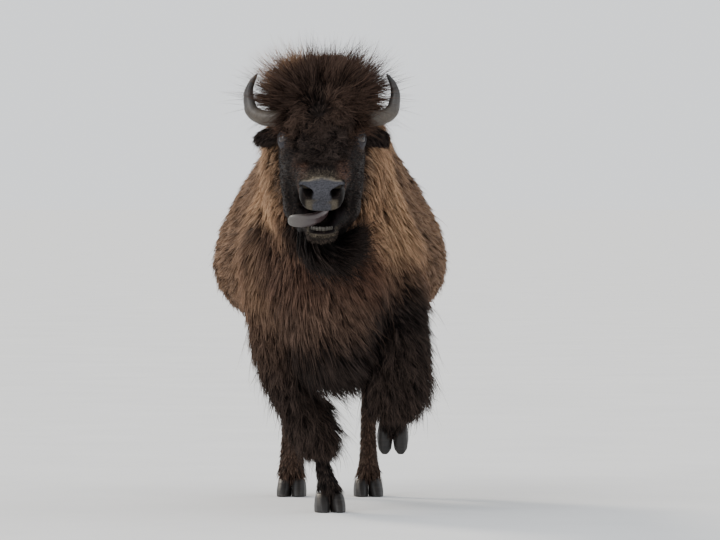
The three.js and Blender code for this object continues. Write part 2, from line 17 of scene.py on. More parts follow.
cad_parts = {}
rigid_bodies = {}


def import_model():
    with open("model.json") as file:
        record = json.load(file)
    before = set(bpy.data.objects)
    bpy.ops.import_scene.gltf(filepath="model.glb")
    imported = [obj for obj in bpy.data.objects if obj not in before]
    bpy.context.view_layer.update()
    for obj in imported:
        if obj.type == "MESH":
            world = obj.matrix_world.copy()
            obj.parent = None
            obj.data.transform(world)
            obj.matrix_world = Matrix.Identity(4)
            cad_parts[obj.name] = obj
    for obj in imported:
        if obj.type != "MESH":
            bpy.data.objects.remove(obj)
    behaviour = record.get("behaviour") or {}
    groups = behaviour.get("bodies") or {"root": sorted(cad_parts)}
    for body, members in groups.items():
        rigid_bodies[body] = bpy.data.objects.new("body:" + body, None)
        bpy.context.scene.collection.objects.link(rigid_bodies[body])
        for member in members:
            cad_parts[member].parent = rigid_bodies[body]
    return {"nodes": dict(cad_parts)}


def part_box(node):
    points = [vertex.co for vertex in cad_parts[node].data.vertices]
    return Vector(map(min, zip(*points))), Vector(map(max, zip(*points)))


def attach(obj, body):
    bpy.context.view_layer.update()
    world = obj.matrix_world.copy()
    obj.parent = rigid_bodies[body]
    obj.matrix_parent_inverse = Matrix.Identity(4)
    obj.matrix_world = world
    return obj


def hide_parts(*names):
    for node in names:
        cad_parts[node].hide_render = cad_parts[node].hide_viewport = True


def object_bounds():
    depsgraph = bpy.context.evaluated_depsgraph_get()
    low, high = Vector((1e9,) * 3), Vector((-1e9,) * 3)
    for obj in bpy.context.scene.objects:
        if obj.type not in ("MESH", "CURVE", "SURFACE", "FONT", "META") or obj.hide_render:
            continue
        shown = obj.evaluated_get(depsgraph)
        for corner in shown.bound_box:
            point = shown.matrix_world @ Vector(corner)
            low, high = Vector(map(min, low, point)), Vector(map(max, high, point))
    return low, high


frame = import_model()
for name in ("Cube", "Light", "Camera"):  # what a new Blender file comes with
    if name in bpy.data.objects:
        bpy.data.objects.remove(bpy.data.objects[name])
CAD_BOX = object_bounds()
NODES = frame["nodes"]
HANDS = {"right": -1, "left": 1}
rng = np.random.default_rng(7)

# ---- Sizes of the skin ----

FACE_SLOPE = math.radians(36)
EYES_BEHIND_BODY_ORIGIN = 1.05
# Size of the voxels, and how far the clay is smoothed on the trunk and on the finer nodes.
BODY_CLAY = {"step": 0.009, "coarse_blur": 0.026, "fine_blur": 0.009}
HEAD_CLAY = {"step": 0.003, "coarse_blur": 0.026, "fine_blur": 0.006}
BODY_KEPT = 0.35  # share of the triangles that is left after thinning
HEAD_KEPT = 0.55
CLAY_MARGIN = 0.03  # how far the clay reaches past the solids
NECK_CUT_Y = -0.84  # the head's fine clay meets the body's coarse clay here
NECK_OVERLAP = 0.12  # how far both clays reach past that cut
NECK_GAP = 0.002  # half the width of the gap that is bridged there
HEAD_CLAY_REACH = 0.29  # to either side of the head's middle
HEAD_CLAY_BOTTOM = 0.70
SEAL = 0.004  # each node swells by this, so that the gaps between them close
DEPTH_BLEND = 0.022  # how far a node's own depth blends into the next one's
EYE_DETAIL = (0.050, 2)  # the skin this near to an eye is split into smaller triangles, this many times
LID_THICK = 0.0030
LID_GAP = (0.0225, 0.0125)  # half length and half height of the opening between the lids
JAW_ARC_PLACE = (0.252, 0)  # the lower front teeth and the lip stand on arcs round this place
ARC_DROP = 0.016  # how far the arcs sink towards the corners of the mouth
MARK_SPACING = 0.014  # between the points on the nodes that say which part the skin near them belongs to

# Depth of the coat at the top and at the bottom of each node.
COAT_DEPTH = {
    "shoulders": (0.028, 0.034),
    "barrel": (0.022, 0.020),
    "rump": (0.018, 0.018),
    "neck": (0.030, 0.034),
    "crown": (0.090, 0.028),
    "beard": (0.040, 0.050),
    "head": (0.005, 0.005),
    "lower_jaw": (0.005, 0.005),
    "nose_pad": (0.001, 0.001),
    "tail": (0.010, 0.010),
    "tail_tuft": (0.026, 0.026),
}
for side in HANDS:
    COAT_DEPTH[f"foreleg_{side}_upper"] = (0.036, 0.010)
    COAT_DEPTH[f"foreleg_{side}_lower"] = (0.003, 0.001)
    COAT_DEPTH[f"hind_leg_{side}_upper"] = (0.018, 0.008)
    COAT_DEPTH[f"hind_leg_{side}_lower"] = (0.006, 0.001)
THIN_NODES = {"ear_right": 0.008, "ear_left": 0.007}  # these keep their shape, this far inside their solids
FINE_NODES = {"head", "lower_jaw", "nose_pad", "tail", "tail_tuft"} | set(THIN_NODES)
FINE_NODES |= {name for name in COAT_DEPTH if "leg" in name}

# ---- Sizes of the coat ----

# How the hair of each part grows: length and width of a tuft, how far it stands off the skin at root and tip
# (in degrees), the height and number of its waves, how hard tufts gather, and how much their ways differ.
STYLE_KEYS = ("length", "width", "lift", "settle", "wave", "turns", "gather", "spread")
STYLES = {
    "crown": (0.135, 0.0034, 80, 50, 0.0090, 1.1, 0.60, 0.34),
    "head": (0.016, 0.0020, 24, 6, 0.0003, 0.5, 0.25, 0.12),
    "nose_pad": (0.007, 0.0012, 20, 5, 0.0001, 0.5, 0.00, 0.10),
    "lower_jaw": (0.020, 0.0022, 24, 8, 0.0006, 0.5, 0.30, 0.15),
    "beard": (0.112, 0.0040, 36, 8, 0.0090, 1.1, 0.72, 0.12),
    "neck": (0.074, 0.0031, 42, 5, 0.0030, 0.9, 0.45, 0.12),
    "shoulders": (0.070, 0.0036, 40, 4, 0.0030, 0.9, 0.65, 0.10),
    "barrel": (0.058, 0.0038, 36, 4, 0.0025, 0.8, 0.48, 0.10),
    "rump": (0.050, 0.0038, 34, 4, 0.0020, 0.8, 0.42, 0.10),
    "ear": (0.024, 0.0024, 24, 8, 0.0012, 0.8, 0.40, 0.20),
    "foreleg_upper": (0.082, 0.0038, 38, 10, 0.0080, 1.2, 0.70, 0.15),
    "foreleg_lower": (0.022, 0.0026, 26, 10, 0.0006, 0.5, 0.35, 0.14),
    "hind_upper": (0.036, 0.0034, 28, 8, 0.0015, 0.7, 0.50, 0.12),
    "hind_lower": (0.022, 0.0026, 24, 9, 0.0006, 0.5, 0.35, 0.13),
    "tail": (0.030, 0.0032, 24, 8, 0.0008, 0.5, 0.40, 0.12),
    "tail_tuft": (0.140, 0.0042, 24, 6, 0.0070, 0.9, 0.60, 0.15),
    "forehead": (0.056, 0.0032, 64, 18, 0.0110, 1.8, 0.85, 0.80),
    "chest": (0.082, 0.0036, 34, 5, 0.0035, 0.9, 0.55, 0.10),
}
STYLE_TABLE = np.array(list(STYLES.values()))
PARTS = {name: place for place, name in enumerate(STYLES)}
# The hair in front of the horns' roots stands out to the sides and hides them.
HORN_COLLAR = {"length": 0.100, "lift": 52, "settle": 20, "wave": 0.004, "gather": 0.35}
PARTING_LENGTH = 0.055  # of the tufts between crown and forehead, which stand up every way
HIGHEST_TIP = 1.585  # no tuft reaches above this
SHORTEST = 0.010
KNEE_HEIGHT = {"right": 0.180, "left": 0.305}  # the coat of the upper forelegs ends near these
LEG_SPLIT = 0.08  # the right foreleg is on the low side of this x
STRAY_LENGTH = 1.75  # how much longer a stray hair is than its neighbours
TUFT_PATCH = 0.003  # side of each tuft's patch on the map

# How tan and how black the hair of each part is, before the patches.
TAN_SHARE = {"neck": 0.50, "shoulders": 0.30, "barrel": 0.26, "rump": 0.24}
BLACK_SHARE = {"hind_lower": 0.36, "hind_upper": 0.30, "tail": 0.30}
for name in ("head", "lower_jaw", "beard", "ear", "nose_pad", "tail_tuft", "foreleg_lower"):
    BLACK_SHARE[name] = 1.0
MARKS = ("tan", "black", "rust", "pale")

# ---- Small tools ----


def middle(node):
    low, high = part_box(node)
    return (np.array(low) + np.array(high)) / 2


def fade(zero, one, value):
    """A smooth step: 0 up to one value, 1 from the other, which may be the lower of the two."""
    t = np.clip((value - zero) / (one - zero), 0, 1)
    return t * t * (3 - 2 * t)


def between(value, low, high, soft):
    return fade(low - soft, low + soft, value) * fade(high + soft, high - soft, value)


def blend(a, b, share):
    return a + (b - a) * share


def unit(vectors):
    return vectors / np.maximum(np.linalg.norm(vectors, axis=-1, keepdims=True), 1e-9)


def square_to(ways, axes):
    """What is left of each way without its part along an axis."""
    return ways - (ways * axes).sum(-1, keepdims=True) * axes


def waves(points, size, seed):
    """Smooth noise, mostly from -1 to 1, with bumps about `size` across."""
    dice = np.random.default_rng(seed)
    count = 10
    total = np.zeros(len(points))
    for _ in range(count):
        way = unit(dice.normal(size=3)) * 2 * math.pi / (size * dice.uniform(1.2, 3.0))
        total += np.sin(points @ way + dice.uniform(0, 2 * math.pi))
    return total / math.sqrt(count)


def far_from(places, points):
    """How far each point is from the nearest of the places."""
    return np.min([np.linalg.norm(points - place, axis=1) for place in places], axis=0)


def nearest_of(places, points):
    """For each point, the index of the nearest place."""
    tree = kdtree.KDTree(len(places))
    for index, place in enumerate(places):
        tree.insert(place, index)
    tree.balance()
    return np.array([tree.find(point)[1] for point in points])


def areas(corners):
    """Areas of triangles, from their corners as (triangle, corner, xyz)."""
    return np.linalg.norm(np.cross(corners[:, 1] - corners[:, 0], corners[:, 2] - corners[:, 0]), axis=1) / 2


def values_of(collection, key, width=3, kind=np.float64):
    """A row of `width` values from each member of a Blender collection."""
    values = np.zeros(len(collection) * width, kind)
    collection.foreach_get(key, values)
    return values.reshape(-1, width)


def fill(collection, key, values, kind=np.float32):
    """The reverse of `values_of`."""
    collection.foreach_set(key, np.ascontiguousarray(values, kind).ravel())


def store(ob, name, values):
    """Keeps one value for each point of the mesh, for the materials."""
    fill(ob.data.attributes.new(name, "FLOAT", "POINT").data, "value", values)


def placed(name, data):
    """A new object in the scene."""
    ob = bpy.data.objects.new(name, data)
    bpy.context.scene.collection.objects.link(ob)
    return ob


def mesh_object(name, points, faces):
    """An object from arrays of points and of faces that all have the same number of corners."""
    mesh = bpy.data.meshes.new(name)
    mesh.vertices.add(len(points))
    fill(mesh.vertices, "co", points)
    mesh.loops.add(faces.size)
    fill(mesh.loops, "vertex_index", faces, np.int32)
    mesh.polygons.add(len(faces))
    fill(mesh.polygons, "loop_start", np.arange(0, faces.size, faces.shape[1]), np.int32)
    fill(mesh.polygons, "use_smooth", np.ones(len(faces)), bool)
    mesh.update(calc_edges=True)
    return placed(name, mesh)


@contextmanager
def opened(mesh):
    """The mesh as a bmesh, which is written back at the end."""
    bm = bmesh.new()
    bm.from_mesh(mesh)
    yield bm
    bm.to_mesh(mesh)
    bm.free()


def smooth_faces(bm):
    for face in bm.faces:
        face.smooth = True


# ---- Places that everything hangs on ----

FACE = np.array([0, -math.cos(FACE_SLOPE), -math.sin(FACE_SLOPE)])
BROW = np.array([0, -math.sin(FACE_SLOPE), math.cos(FACE_SLOPE)])
SIDE = np.array([1.0, 0, 0])
UP = np.array([0, 0, 1.0])
BACK = np.array([0, 1.0, 0])
EYE = {side: middle(f"eye_{side}") for side in HANDS}
EYE_RADIUS = (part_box("eye_left")[1].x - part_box("eye_left")[0].x) / 2
HEAD_ORIGIN = (EYE["left"] + EYE["right"]) / 2 + 0.002 * BROW
HEAD_X = HEAD_ORIGIN[0]
BODY_ORIGIN_Y = HEAD_ORIGIN[1] + EYES_BEHIND_BODY_ORIGIN


def on_head(u, v, x=0.0):
    return HEAD_ORIGIN + u * FACE + v * BROW + x * SIDE


def on_body(x, y, z):
    return np.array([x, y + BODY_ORIGIN_Y, z])


def head_places(points):
    """The u, v and x of points."""
    away = points - HEAD_ORIGIN
    return away @ FACE, away @ BROW, away[:, 0]


def body_places(points):
    """The x, y and z of points."""
    return (points - np.array([0, BODY_ORIGIN_Y, 0])).T


JAW_ARC = on_head(*JAW_ARC_PLACE)
HORN_ROOTS = [on_body(HEAD_X + hand * 0.108, -1.01, 1.288) for hand in HANDS.values()]
CLAWS = [node for node in NODES if node.endswith("claw")]
MAIN_CLAWS = [node for node in CLAWS if not node.endswith("dewclaw")]


def eye_axes(hand):
    """The way an eye looks, and the ways along and across the gap between its lids."""
    gaze = unit(np.array([hand * 0.80, -0.60, 0.06]))
    along = unit(np.cross(gaze, UP) * hand + np.array([0, 0, -0.22]))
    along = unit(along - (along @ gaze) * gaze)
    over = np.cross(along, gaze)
    return gaze, along, over if over[2] > 0 else -over


def near_eyes(points, reach):
    """1 on an eye, 0 from `reach` away."""
    return fade(reach, 0.4 * reach, far_from(EYE.values(), points))


# ---- Clay: signed distances on a grid, negative inside ----


def node_mesh(name):
    """A node's points and triangles."""
    mesh = NODES[name].data
    mesh.calc_loop_triangles()
    triangles = values_of(mesh.loop_triangles, "vertices", kind=np.int32)
    return values_of(mesh.vertices, "co", kind=np.float32), triangles.astype(np.uint32)


def box_blurred(values, sigma):
    """Three running means along each axis, which together come close to a wide Gaussian blur."""
    half = max(1, round((math.sqrt(4 * sigma * sigma + 1) - 1) / 2))
    width = 2 * half + 1
    for axis in (0, 1, 2) * 3:
        padded = np.pad(np.moveaxis(values, axis, 0), [(half + 1, half), (0, 0), (0, 0)], mode="edge")
        sums = np.cumsum(padded, axis=0, dtype=np.float64)
        means = ((sums[width:] - sums[:-width]) / width).astype(np.float32)
        values = np.ascontiguousarray(np.moveaxis(means, 0, axis))
    return values


def blurred(values, sigma):
    """Gaussian blur over all three axes; sigma counts voxels."""
    if sigma > 3:
        return box_blurred(values, sigma)
    reach = max(1, int(math.ceil(2.5 * sigma)))
    weights = np.exp(-0.5 * (np.arange(-reach, reach + 1) / sigma) ** 2).astype(np.float32)
    weights /= weights.sum()
    for axis in range(3):
        count = values.shape[axis]
        padded = np.pad(np.moveaxis(values, axis, 0), [(reach, reach), (0, 0), (0, 0)], mode="edge")
        total = sum(weight * padded[k : k + count] for k, weight in enumerate(weights))
        values = np.ascontiguousarray(np.moveaxis(total, 0, axis))
    return values


def smooth_min(a, b, soft):
    h = np.clip(0.5 + 0.5 * (b - a) / soft, 0, 1)
    return b + (a - b) * h - soft * h * (1 - h)


class Clay:
    """A block of space whose forms can be joined, blurred, cut and turned into a mesh."""

    def __init__(self, low, high, step):
        self.step = step
        self.first = np.floor(np.array(low) / step).astype(int)
        last = np.ceil(np.array(high) / step).astype(int)
        self.shape = tuple(int(n) for n in last - self.first + 1)
        self.values = np.full(self.shape, 1.0, np.float32)
        self.line = [(first + np.arange(n)) * step for first, n in zip(self.first, self.shape)]

    def distance_to(self, points, faces, reach):
        """Signed distances to a closed mesh of triangles or of quads, true as far as `reach`."""
        grid = vdb.FloatGrid.createLevelSetFromPolygons(
            points,
            transform=vdb.createLinearTransform(voxelSize=self.step),
            halfWidth=reach / self.step,
            **{"triangles" if faces.shape[1] == 3 else "quads": faces},
        )
        out = np.empty(self.shape, np.float32)
        grid.copyToArray(out, ijk=tuple(int(n) for n in self.first))
        return out

    def surface(self):
        """The skin of the clay, as points and quads with their faces out."""
        grid = vdb.FloatGrid()
        grid.background = float(self.values.max())
        grid.copyFromArray(self.values, ijk=tuple(int(n) for n in self.first))
        grid.transform = vdb.createLinearTransform(voxelSize=self.step)
        return grid.convertToQuads()

    def _ellipsoid(self, centre, radii, soft, axes):
        """The slices of the block that the form can change, and the distances to it there."""
        reach = max(radii) + 3 * soft
        near = []
        lines = []
        for line, place in zip(self.line, centre):
            first, last = np.searchsorted(line, [place - reach, place + reach])
            near.append(slice(int(first), int(last)))
            lines.append(line[near[-1]] - place)
        away = np.stack(np.meshgrid(*lines, indexing="ij"), axis=-1).astype(np.float32)
        radii = np.array(radii, np.float32)
        scaled = (away @ np.array(axes, np.float32).T) / radii
        level = np.linalg.norm(scaled, axis=-1)
        slope = np.linalg.norm(scaled / radii, axis=-1)
        return tuple(near), level * (level - 1) / np.maximum(slope, 1e-6)

    def add(self, centre, radii, soft, axes=(FACE, BROW, SIDE)):
        near, form = self._ellipsoid(centre, radii, soft, axes)
        self.values[near] = smooth_min(self.values[near], form, soft)

    def cut(self, centre, radii, soft, axes=(FACE, BROW, SIDE)):
        near, form = self._ellipsoid(centre, radii, soft, axes)
        self.values[near] = -smooth_min(-self.values[near], form, soft)


# ---- The skin: the solids' own shape, inside them by the coat's depth ----


def body_clay(low, high, step, coarse_blur, fine_blur):
    """Clay of the flesh that falls in a box: the nodes joined, rounded, and shrunk by the coat's depth."""
    clay = Clay(low, high, step)
    depth, depth_share, fine_share = (np.zeros(clay.shape, np.float32) for _ in range(3))
    heights = clay.line[2][None, None, :]
    fills = {name: (0.010, 0.010) for name in (*THIN_NODES, "eye_right", "eye_left")}

    def in_clay(node):
        node_low, node_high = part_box(node)
        return all(node_high[k] > low[k] and node_low[k] < high[k] for k in range(3))

    for name, (at_top, at_bottom) in {**COAT_DEPTH, **fills}.items():
        if not in_clay(name):
            continue
        solid = clay.distance_to(*node_mesh(name), reach=3.5 * step) - SEAL
        clay.values = np.minimum(clay.values, solid)
        near = (solid < step).astype(np.float32)
        bottom, top = (corner.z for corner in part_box(name))
        level = np.clip((heights - bottom) / (top - bottom), 0, 1)
        depth += near * (at_bottom + (at_top - at_bottom) * np.sqrt(level)).astype(np.float32)
        depth_share += near
        fine_share += near * (name in FINE_NODES or name in fills)
    for hand in HANDS.values():
        clay.add(on_head(0.305, 0.012, hand * 0.046), (0.028, 0.020, 0.024), 0.004)  # fills a nostril
    share = blurred(depth_share, DEPTH_BLEND / step) + 1e-6
    depth = blurred(depth, DEPTH_BLEND / step) / share
    fine = np.clip(blurred(fine_share, DEPTH_BLEND / step) / share, 0, 1)
    clay.values = clay.distance_to(*clay.surface(), reach=0.10) + SEAL
    rounded = blurred(clay.values, coarse_blur / step)
    crisp = blurred(clay.values, fine_blur / step)
    clay.values = crisp * fine + rounded * (1 - fine) + depth
    for name, inset in THIN_NODES.items():
        if in_clay(name):
            solid = blurred(clay.distance_to(*node_mesh(name), reach=0.03), 0.004 / step)
            clay.values = smooth_min(clay.values, solid + inset, 0.012)
    return clay


def sculpt_head(clay):
    """The folds that the head's solids leave out: lids, brows, nostrils, lips, cheeks and ear cups."""
    for side, hand in HANDS.items():
        sculpt_eye(clay, EYE[side], hand)
        sculpt_nostril(clay, hand)
        sculpt_ear(clay, middle(f"ear_{side}"), hand)
        clay.add(on_head(0.070, -0.150, hand * 0.098), (0.085, 0.070, 0.028), 0.030)  # masseter
        clay.add(on_head(0.090, -0.046, hand * 0.096), (0.075, 0.014, 0.016), 0.024)  # cheekbone
        clay.add(on_head(0.138, -0.116, hand * 0.078), (0.034, 0.050, 0.012), 0.022)  # corner of the mouth
        clay.cut(on_head(0.215, 0.000, hand * 0.092), (0.040, 0.030, 0.010), 0.012)  # behind the nostril
    sculpt_mouth(clay)


def sculpt_eye(clay, eye, hand):
    """The mound of the socket, with a fold above and below the lids. The lids themselves come later."""
    gaze, along, over = eye_axes(hand)
    axes = (along, over, gaze)
    clay.add(eye - gaze * 0.010, (0.042, 0.034, 0.026), 0.014, axes)
    clay.add(eye + over * 0.024 + gaze * 0.004, (0.030, 0.007, 0.011), 0.008, axes)
    clay.add(eye - over * 0.022 + gaze * 0.002 + along * 0.004, (0.024, 0.005, 0.008), 0.008, axes)
    clay.add(eye, (EYE_RADIUS + 0.0035,) * 3, 0.008, axes)


def sculpt_nostril(clay, hand):
    """A comma: round at its inner end, drawn out upwards and outwards, under a thick wing."""
    long_way = unit(hand * 0.034 * SIDE + 0.020 * BROW - 0.024 * FACE)
    deep = unit(FACE - (FACE @ long_way) * long_way)
    axes = (long_way, deep, np.cross(long_way, deep))
    clay.add(on_head(0.296, 0.028, hand * 0.052), (0.026, 0.022, 0.012), 0.010, axes)
    clay.cut(on_head(0.308, 0.023, hand * 0.048), (0.0240, 0.034, 0.0092), 0.004, axes)
    clay.cut(on_head(0.317, 0.014, hand * 0.038), (0.0130, 0.032, 0.0122), 0.004, axes)


def sculpt_ear(clay, ear, hand):
    """The cup of an ear."""
    out = unit(np.array([hand * 0.95, 0.28, -0.10]))
    ahead = unit(np.array([hand * 0.25, -0.95, 0.05]))
    axes = (out, np.cross(out, ahead), ahead)
    clay.cut(ear + out * 0.014 + ahead * 0.018, (0.040, 0.018, 0.013), 0.006, axes)


def sculpt_mouth(clay):
    clay.cut(on_head(0.200, -0.094), (0.098, 0.026, 0.056), 0.012)  # palate
    clay.cut(on_head(0.190, -0.142), (0.088, 0.024, 0.040), 0.010)  # floor of the mouth
    clay.add(on_head(0.268, -0.186), (0.034, 0.022, 0.040), 0.012)  # chin
    clay.add(on_head(0.292, -0.050), (0.026, 0.012, 0.060), 0.010)  # roll of the upper lip
    for turn in np.linspace(-1.30, 1.30, 16):
        out = math.cos(turn) * FACE + math.sin(turn) * SIDE
        level = ARC_DROP * (1 - math.cos(turn)) * BROW
        clay.add(JAW_ARC - 0.156 * BROW - level + 0.0340 * out, (0.0065,) * 3, 0.004)  # gum
        clay.add(JAW_ARC - 0.161 * BROW - level + 0.0450 * out, (0.0075,) * 3, 0.005)  # lower lip


def thin(ob, share):
    """Leaves this share of the object's triangles, and takes them first where it is flattest."""
    modifier = ob.modifiers.new("thin", "DECIMATE")
    modifier.ratio = share
    modifier.use_collapse_triangulate = True
    shown = ob.evaluated_get(bpy.context.evaluated_depsgraph_get())
    mesh = bpy.data.meshes.new_from_object(shown)
    ob.modifiers.clear()
    ob.data = mesh


def cut_open(mesh, plane_y, keep_front):
    """Cuts a mesh at a plane square to Y and keeps what is on one side, open at the cut."""
    with opened(mesh) as bm:
        geometry = bm.verts[:] + bm.edges[:] + bm.faces[:]
        bmesh.ops.bisect_plane(
            bm, geom=geometry, plane_co=(0, plane_y, 0), plane_no=(0, 1, 0),
            clear_outer=keep_front, clear_inner=not keep_front,
        )


def keep_largest_shell(mesh):
    """Drops every loose shell but the largest."""
    with opened(mesh) as bm:
        left = set(bm.verts)
        shells = []
        while left:
            shell = []
            waiting = [left.pop()]
            while waiting:
                vert = waiting.pop()
                shell.append(vert)
                around_it = [edge.other_vert(vert) for edge in vert.link_edges]
                fresh = [other for other in around_it if other in left]
                left.difference_update(fresh)
                waiting += fresh
            shells.append(shell)
        shells.sort(key=len)
        bmesh.ops.delete(bm, geom=[vert for shell in shells[:-1] for vert in shell], context="VERTS")


def triangulate(bm):
    bmesh.ops.triangulate(bm, faces=[face for face in bm.faces if len(face.verts) > 3])


def refine(bm, centre, reach, times):
    """Splits the triangles near a place, each time nearer to it."""
    for _ in range(times):
        near = [edge for edge in bm.edges if (edge.verts[0].co - Vector(centre)).length < reach]
        bmesh.ops.subdivide_edges(bm, edges=near, cuts=1)
        triangulate(bm)
        reach *= 0.75


def shape_lids(bm, side):
    """Wraps the skin round the eyeball and opens an almond-shaped gap, whose floor sinks behind the ball."""
    eye = EYE[side]
    gaze, along, over = eye_axes(HANDS[side])
    near = [vert for vert in bm.verts if (vert.co - Vector(eye)).length < EYE_RADIUS + 0.014]
    away = np.array([vert.co for vert in near]) - eye
    level = np.linalg.norm(away, axis=1)
    way = away / level[:, None]
    ahead = way @ gaze
    a = (way @ along) * EYE_RADIUS / LID_GAP[0]
    b = (way @ over) * EYE_RADIUS / LID_GAP[1]
    gap = np.abs(b) - (1 - np.minimum(np.abs(a), 1.4) ** 1.8)  # below 0 in the opening
    lid = EYE_RADIUS + LID_THICK * (1.25 - 0.5 * fade(0.5, 0.0, gap))
    wrap = fade(0.05, 0.35, ahead) * fade(0.013, 0.004, np.abs(level - EYE_RADIUS))
    shaped = blend(level, lid, wrap)
    floor = EYE_RADIUS - 0.0045
    shaped = blend(shaped, floor, fade(0.06, -0.10, gap) * (ahead > 0.1))
    for vert, point in zip(near, eye + way * shaped[:, None]):
        vert.co = point


def make_skin():
    """The head's and the body's clay as two open meshes, bridged at the neck."""
    low, high = CAD_BOX
    plane = NECK_CUT_Y + BODY_ORIGIN_Y
    top = high[2] + CLAY_MARGIN
    body = body_clay(
        (low[0] - CLAY_MARGIN, plane - NECK_OVERLAP, -CLAY_MARGIN),
        (high[0] + CLAY_MARGIN, high[1] + CLAY_MARGIN, top),
        **BODY_CLAY,
    )
    head = body_clay(
        (HEAD_X - HEAD_CLAY_REACH, low[1] - CLAY_MARGIN, HEAD_CLAY_BOTTOM),
        (HEAD_X + HEAD_CLAY_REACH, plane + NECK_OVERLAP, top),
        **HEAD_CLAY,
    )
    sculpt_head(head)
    mesh = bpy.data.meshes.new("skin")
    with opened(mesh) as whole:
        for clay, kept, gap in ((body, BODY_KEPT, NECK_GAP), (head, HEAD_KEPT, -NECK_GAP)):
            ob = mesh_object("part_of_skin", *clay.surface())
            keep_largest_shell(ob.data)
            thin(ob, kept)
            cut_open(ob.data, plane + gap, keep_front=clay is head)
            whole.from_mesh(ob.data)
            bpy.data.objects.remove(ob)
        bmesh.ops.bridge_loops(whole, edges=[edge for edge in whole.edges if edge.is_boundary])
        triangulate(whole)
        for eye in EYE.values():
            refine(whole, eye, *EYE_DETAIL)
        for side in HANDS:
            shape_lids(whole, side)
        smooth_faces(whole)
    return placed("skin", mesh)


# ---- Arrays of the skin's mesh ----


def part_of(node):
    """The name in STYLES for the coat of a node."""
    return node.replace("_right", "").replace("_left", "").replace("hind_leg", "hind")


def marks_on(node):
    """Points spread evenly over a node."""
    points, triangles = node_mesh(node)
    corners = points[triangles]
    area = areas(corners)
    count = int(max(200, area.sum() / MARK_SPACING**2))
    chosen = rng.choice(len(area), count, p=area / area.sum())
    return np.einsum("nk,nkd->nd", rng.dirichlet((1, 1, 1), count), corners[chosen])


def of(share, *parts):
    """How much each point belongs to any of these parts."""
    return sum(share[:, PARTS[part]] for part in parts)


class Surface:
    """The skin as arrays: points, normals, triangles, and how much each point belongs to each part."""

    def __init__(self, skin):
        mesh = skin.data
        self.points = values_of(mesh.vertices, "co")
        self.normals = values_of(mesh.vertex_normals, "vector")
        self.triangles = values_of(mesh.polygons, "vertices", kind=np.int32)
        self.areas = areas(self.points[self.triangles])
        self.share = self._softened(self._nearest_parts())
        self._split_parts()
        self.part = self.share.argmax(1)

    def _nearest_parts(self):
        """1 for the part of the nearest node, 0 for the others."""
        marks = {node: marks_on(node) for node in (*COAT_DEPTH, *THIN_NODES)}
        part_of_mark = [np.full(len(points), PARTS[part_of(node)]) for node, points in marks.items()]
        nearest = nearest_of(np.concatenate(list(marks.values())), self.points)
        share = np.zeros((len(self.points), len(PARTS)), np.float32)
        share[np.arange(len(nearest)), np.concatenate(part_of_mark)[nearest]] = 1
        return share

    def _softened(self, share):
        """Shares evened out between neighbouring points, so that parts blend where they meet."""
        edges = np.concatenate([self.triangles[:, pair] for pair in ([0, 1], [1, 2], [2, 0])])
        count = len(self.points)
        degree = np.bincount(edges.ravel(), minlength=count)[:, None]
        one, other = edges.T
        for _ in range(8):
            total = [
                np.bincount(one, column[other], count) + np.bincount(other, column[one], count)
                for column in share.T
            ]
            share = 0.4 * share + 0.6 * np.stack(total, axis=1) / degree
        return share

    def _split_parts(self):
        _, y, z = body_places(self.points)
        u, v, side = head_places(self.points)
        horn_collar = fade(0.070, 0.045, far_from(HORN_ROOTS, self.points))
        self._split("head", "crown", horn_collar * fade(1.245, 1.265, z))
        curly = fade(1.36, 1.27, z) * fade(0.105, 0.075, np.abs(side)) * (y < -0.95)
        self._split("crown", "forehead", curly)
        self._split("shoulders", "chest", fade(-0.50, -0.62, y))
        under = fade(-0.180, -0.195, v) * fade(0.14, 0.18, u) * fade(0.945, 0.915, z)
        self._split("lower_jaw", "beard", under)

    def _split(self, whole, part, amount):
        """Hands `amount` of one part's share to another part."""
        self.share[:, PARTS[part]] += self.share[:, PARTS[whole]] * amount
        self.share[:, PARTS[whole]] *= 1 - amount


# ---- Markings: the same on skin and coat ----


